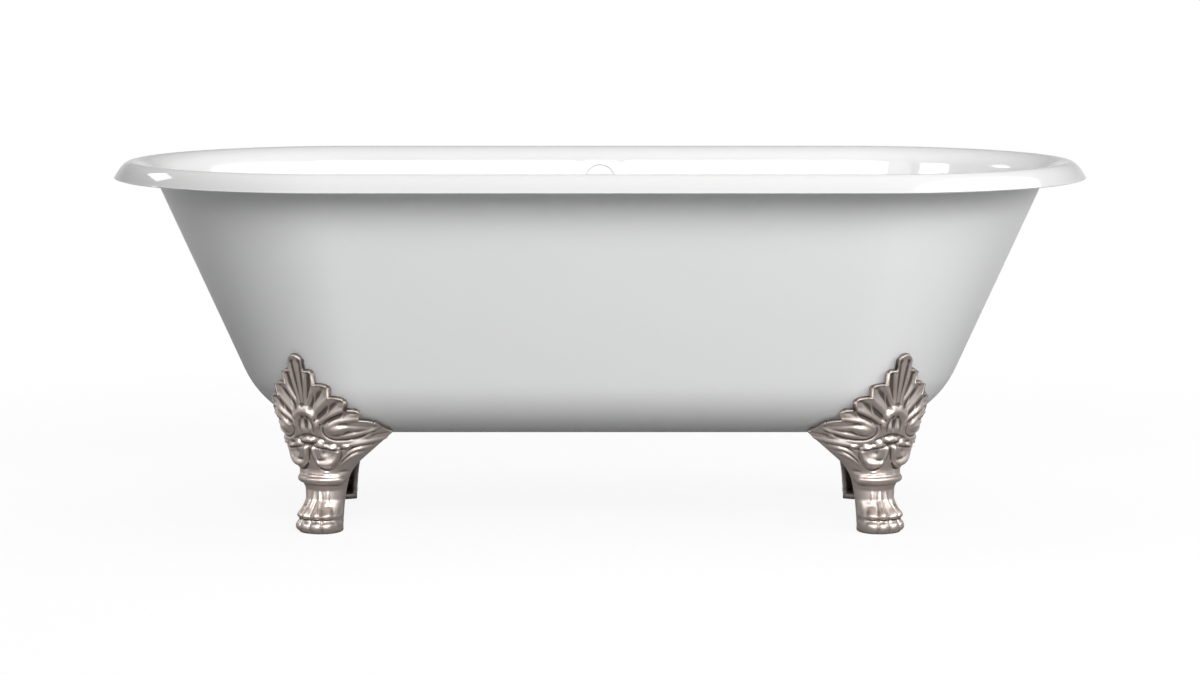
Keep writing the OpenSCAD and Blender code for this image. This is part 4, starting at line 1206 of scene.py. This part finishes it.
def nickel(s):
    """Brushed nickel plate on a casting, darkened towards the patina colour by the hollow attribute: tarnish
    and painted shade in its hollows, painted shade on its turned edges.
    """
    w = Wiring("brushed_nickel")
    hollow = w.attribute("hollow")
    clouds = w.noise(38.0, 4.0, 0.6)
    grain = w.noise(900.0, 3.0, 0.6)
    # Share of the patina colour: tarnish and painted shade from the hollow attribute, with clouds of tarnish
    worn = w.band(hollow + 0.35 * clouds, 0.3, 1.05)
    colour = w.blend(worn, rgba(s.metal), rgba(s.patina_and_shade))
    roughness = 0.38 + 0.1 * worn + 0.05 * clouds
    skin = w.bump(clouds, 0.6 * MM, 0.12)
    fine = w.bump(grain, 0.06 * MM, 0.5, skin)
    return w.finish(Base_Color=colour, Metallic=1.0, Roughness=roughness, Normal=fine)


def zinc():
    """Zinc plate on turned steel, with fine rings round its length."""
    w = Wiring("zinc_plate")
    clouds = w.noise(120.0, 3.0)
    grain = w.noise(1500.0, 2.0)
    colour = w.blend(clouds, rgba((0.5, 0.5, 0.51)), rgba((0.68, 0.68, 0.69)))
    return w.finish(Base_Color=colour, Metallic=1.0, Roughness=0.26 + 0.18 * clouds,
                    Normal=w.bump(grain, 0.05 * MM, 0.6))


def glide_plastic():
    """Matt black moulded plastic."""
    w = Wiring("glide_plastic")
    grain = w.noise(1100.0, 3.0)
    clouds = w.noise(90.0, 2.0)
    colour = w.blend(clouds, rgba((0.035, 0.035, 0.037)), rgba((0.055, 0.055, 0.058)))
    return w.finish(Base_Color=colour, Roughness=0.5 + 0.15 * grain, Normal=w.bump(grain, 0.08 * MM, 0.5))


def rays(w, *kinds):
    """1 for rays of any of these kinds, and else 0."""
    first, *others = (w.node("ShaderNodeLightPath", output=f"Is {kind} Ray") for kind in kinds)
    return w.math("MINIMUM", sum(others, first), 1.0)


def studio_white(s):
    """Paper that is white to the camera, and in reflections from a few steps away on. By the bath a tenth of
    it is plain paper, which keeps a soft shadow. Its grey is darker to all other rays, so that it throws
    little light back up."""
    w = Wiring("studio_white")
    place = w.node("ShaderNodeTexCoord", output="Object")
    away = w.node("ShaderNodeVectorMath", {"operation": "LENGTH"}, {0: place}, "Value")
    far = w.band(away, s.plain_floor, 2 * s.plain_floor)
    seen = rays(w, "Camera")
    mirror = rays(w, "Glossy", "Transmission")
    white = w.math("MAXIMUM", seen, mirror * far)
    shade = w.blend(w.math("MAXIMUM", seen, mirror * 0.25), rgba(0.25), rgba(0.97))
    paper = w.node("ShaderNodeBsdfDiffuse", {}, {"Color": shade})
    glow = w.node("ShaderNodeEmission", {}, {"Color": rgba(1.0), "Strength": 1.0})
    mixed = w.node("ShaderNodeMixShader", {}, {0: white * (0.9 + 0.1 * far), 1: paper, 2: glow})
    w.node("ShaderNodeOutputMaterial", {}, {"Surface": mixed})
    return w.owner


# Operators

def shared(name, make, *settings):
    """A material by its name, made the first time that it is asked for."""
    return bpy.data.materials.get(name) or make(*settings)


def finish_nodes(starts, material):
    """Gives a material to the nodes of the frame whose names start with any of these words."""
    chosen = [made for node, made in frame["nodes"].items() if node.startswith(starts)]
    if not chosen or not all(made.material_slots for made in chosen):
        raise ValueError("no node with a material slot starts with " + " or ".join(starts))
    for made in chosen:
        for slot in made.material_slots:
            slot.material = material


class BATH_OT_studio(Operator):
    """Sets up the white floor, the lamps, the world and the camera"""
    bl_idname = "bath.studio"
    bl_label = "Studio"

    def execute(self, context):
        scene, s = context.scene, context.scene.bath_studio
        scene.view_settings.view_transform = "Standard"
        self.camera(scene, s)
        self.floor(scene)
        self.world(scene)
        # Shape, place, aim, size, watts, and the rays that see the lamp. What only glossy rays see are the
        # sheets and windows that show as glints in the enamel.
        lamps = {
            "overhead": ("ELLIPSE", (0.0, 0.3, 3.4), (0, 0, 0.3), (3.4, 2.2), 40, "diffuse"),
            "key": ("ELLIPSE", (0.5, -4.8, 3.1), (0, 0, 0.3), (5.0, 3.4), 190, "diffuse glossy"),
            "back": ("ELLIPSE", (0.0, 4.8, 1.0), (0, 0, 0.35), (4.0, 1.2), 60, "diffuse"),
            "side_right": ("ELLIPSE", (4.0, -1.8, 1.7), (0.4, 0, 0.4), (1.2, 2.0), 44, "diffuse"),
            "glint_right": ("RECTANGLE", (2.9, -2.6, 2.4), (0.7, 0, 0.6), (0.8, 0.6), 12, "diffuse glossy"),
            "halo": ("ELLIPSE", (0.0, -4.9, 3.1), (0, 0, 0.3), (8.5, 4.4), 125, "glossy"),
            "sheet_right": ("ELLIPSE", (3.3, -1.3, 3.3), (-0.6, 0.25, 0.6), (6.4, 3.0), 85, "glossy"),
            "window_left": ("RECTANGLE", (-8.67, -4.88, 6.3), (0.6, 0.26, 0.6), (4.1, 2.7), 230, "glossy"),
            "window_back": ("RECTANGLE", (-10.06, 6.54, 7.9), (0, 0, 0.6), (4.0, 2.2), 125, "glossy"),
        }
        for name, setup in lamps.items():
            self.lamp(scene, name, *setup)
        return {"FINISHED"}

    def camera(self, scene, s):
        """The photograph's camera, level across and dipped towards the bath."""
        data = bpy.data.cameras.new("camera")
        data.sensor_width = 36
        data.lens = s.focal_pixels * data.sensor_width / s.photo_width
        camera = bpy.data.objects.new("camera", data)
        camera.location = (0, -s.camera_back, s.camera_up)
        camera.rotation_euler = (math.pi / 2 - s.camera_dip, 0, 0)
        scene.collection.objects.link(camera)
        scene.camera = camera

    def lamp(self, scene, name, form, at, aim, size, watts, seen_by):
        """An area lamp turned to its aim, with its width level."""
        data = bpy.data.lights.new(name, "AREA")
        data.shape, data.size, data.size_y, data.energy = form, *size, watts
        lamp = bpy.data.objects.new(name, data)
        lamp.location = at
        look = unit(np.array(aim, float) - np.array(at))
        lamp.rotation_euler = (math.acos(-look[2]), 0, math.atan2(look[1], look[0]) - math.pi / 2)
        lamp.visible_camera = False
        lamp.visible_diffuse, lamp.visible_glossy = "diffuse" in seen_by, "glossy" in seen_by
        scene.collection.objects.link(lamp)

    def floor(self, scene):
        """A disc, as rings that widen by equal shares round a hub."""
        sides, count, first, last = 96, 24, 0.4, 60.0
        radius = first * (last / first) ** np.linspace(0, 1, count)
        rings = upright_rings((0, 0), turns(sides), [(r, 0.0) for r in radius])
        mesh = bpy.data.meshes.new("studio_floor")
        points = np.concatenate(rings + [np.zeros((1, 3))])
        n = wrapped(np.arange(count * sides).reshape(count, sides))
        quads = quads_of(n)[..., ::-1].reshape(-1, 4)
        hub = np.stack([np.full(sides, count * sides), n[0, :-1], n[0, 1:]], -1)
        mesh.from_pydata(points.tolist(), [], quads.tolist() + hub.tolist())
        mesh.materials.append(studio_white(scene.bath_studio))
        floor = bpy.data.objects.new("studio_floor", mesh)
        scene.collection.objects.link(floor)

    def world(self, scene):
        """White to the camera, brighter at the horizon in reflections, and a dim fill to everything else."""
        w = Wiring("studio", "worlds")
        direction = w.node("ShaderNodeTexCoord", output="Generated")
        height = w.node("ShaderNodeSeparateXYZ", {}, {0: direction}, "Z")
        fill = w.node("ShaderNodeBackground", {}, {"Color": rgba(1.0), "Strength": 0.26})
        white = w.node("ShaderNodeBackground", {}, {"Color": rgba(1.0), "Strength": 1.0})
        horizon = rays(w, "Glossy", "Transmission") * (0.55 - 0.45 * w.band(height, 0.02, 0.25))
        share = w.math("MAXIMUM", rays(w, "Camera"), horizon)
        mixed = w.node("ShaderNodeMixShader", {}, {0: share, 1: fill, 2: white})
        w.node("ShaderNodeOutputWorld", {}, {"Surface": mixed})
        scene.world = w.owner


class BATH_OT_casting(Operator):
    """Casts the bath, enamelled inside and over the rim, with its waste and overflow holes"""
    bl_idname = "bath.casting"
    bl_label = "Bath casting"

    def execute(self, context):
        s = context.scene.bath_casting
        finish = shared("enamel_and_paint", enamel_and_paint, s)
        cast_bath(s).piece("bath_casting", "root", "white_enamel", finish, ["bath_shell"], "enamel")
        return {"FINISHED"}


class BATH_OT_feet(Operator):
    """Casts the four carved feet"""
    bl_idname = "bath.feet"
    bl_label = "Carved feet"

    def execute(self, context):
        s = context.scene.bath_feet
        skin = foot_skin(s, BathShape(context.scene.bath_casting))
        finish = shared("brushed_nickel", nickel, s)
        for name, (sx, sy) in CORNERS.items():
            mirrored(skin, sx, sy).piece("foot_casting_" + name, "root", "foot_metal", finish,
                                         ["foot_" + name], "hollow", sharp_edges=False)
        return {"FINISHED"}


class BATH_OT_fixings(Operator):
    """Finishes the studs, washers and nuts that hold the feet"""
    bl_idname = "bath.fixings"
    bl_label = "Fixings"

    def execute(self, context):
        finish_nodes(("fixing_", "flat_", "spring_", "levelling_screw", "levelling_lock"),
                     shared("zinc_plate", zinc))
        return {"FINISHED"}


class BATH_OT_glides(Operator):
    """Finishes the plastic glides under the levelling screws"""
    bl_idname = "bath.glides"
    bl_label = "Glides"

    def execute(self, context):
        finish_nodes(("levelling_glide",), shared("glide_plastic", glide_plastic))
        return {"FINISHED"}


OPERATORS = (BATH_OT_studio, BATH_OT_casting, BATH_OT_feet, BATH_OT_fixings, BATH_OT_glides)
SETTINGS = {"bath_casting": BathSettings, "bath_feet": FootSettings, "bath_studio": StudioSettings}


class BATH_PT_panel(Panel):
    """Lists the pieces of the bath, each with a button that makes it"""
    bl_idname = "BATH_PT_panel"
    bl_label = "Paw-footed bath"
    bl_space_type = "VIEW_3D"
    bl_region_type = "UI"
    bl_category = "Bath"

    def draw(self, context):
        """A button for each operator, and its settings below."""
        for operator in OPERATORS:
            self.layout.operator(operator.bl_idname)
        for name, group in SETTINGS.items():
            box = self.layout.box()
            for setting in group.__annotations__:
                box.prop(getattr(context.scene, name), setting)


def register():
    for group in SETTINGS.values():
        bpy.utils.register_class(group)
    for name, group in SETTINGS.items():
        setattr(bpy.types.Scene, name, PointerProperty(type=group))
    for made in OPERATORS + (BATH_PT_panel,):
        bpy.utils.register_class(made)


def unregister():
    for made in (BATH_PT_panel,) + OPERATORS[::-1]:
        bpy.utils.unregister_class(made)
    for name, group in SETTINGS.items():
        delattr(bpy.types.Scene, name)
        bpy.utils.unregister_class(group)


def main():
    register()
    bpy.ops.bath.studio()
    bpy.ops.bath.casting()
    bpy.ops.bath.feet()
    bpy.ops.bath.fixings()
    bpy.ops.bath.glides()


if __name__ == "__main__":
    main()
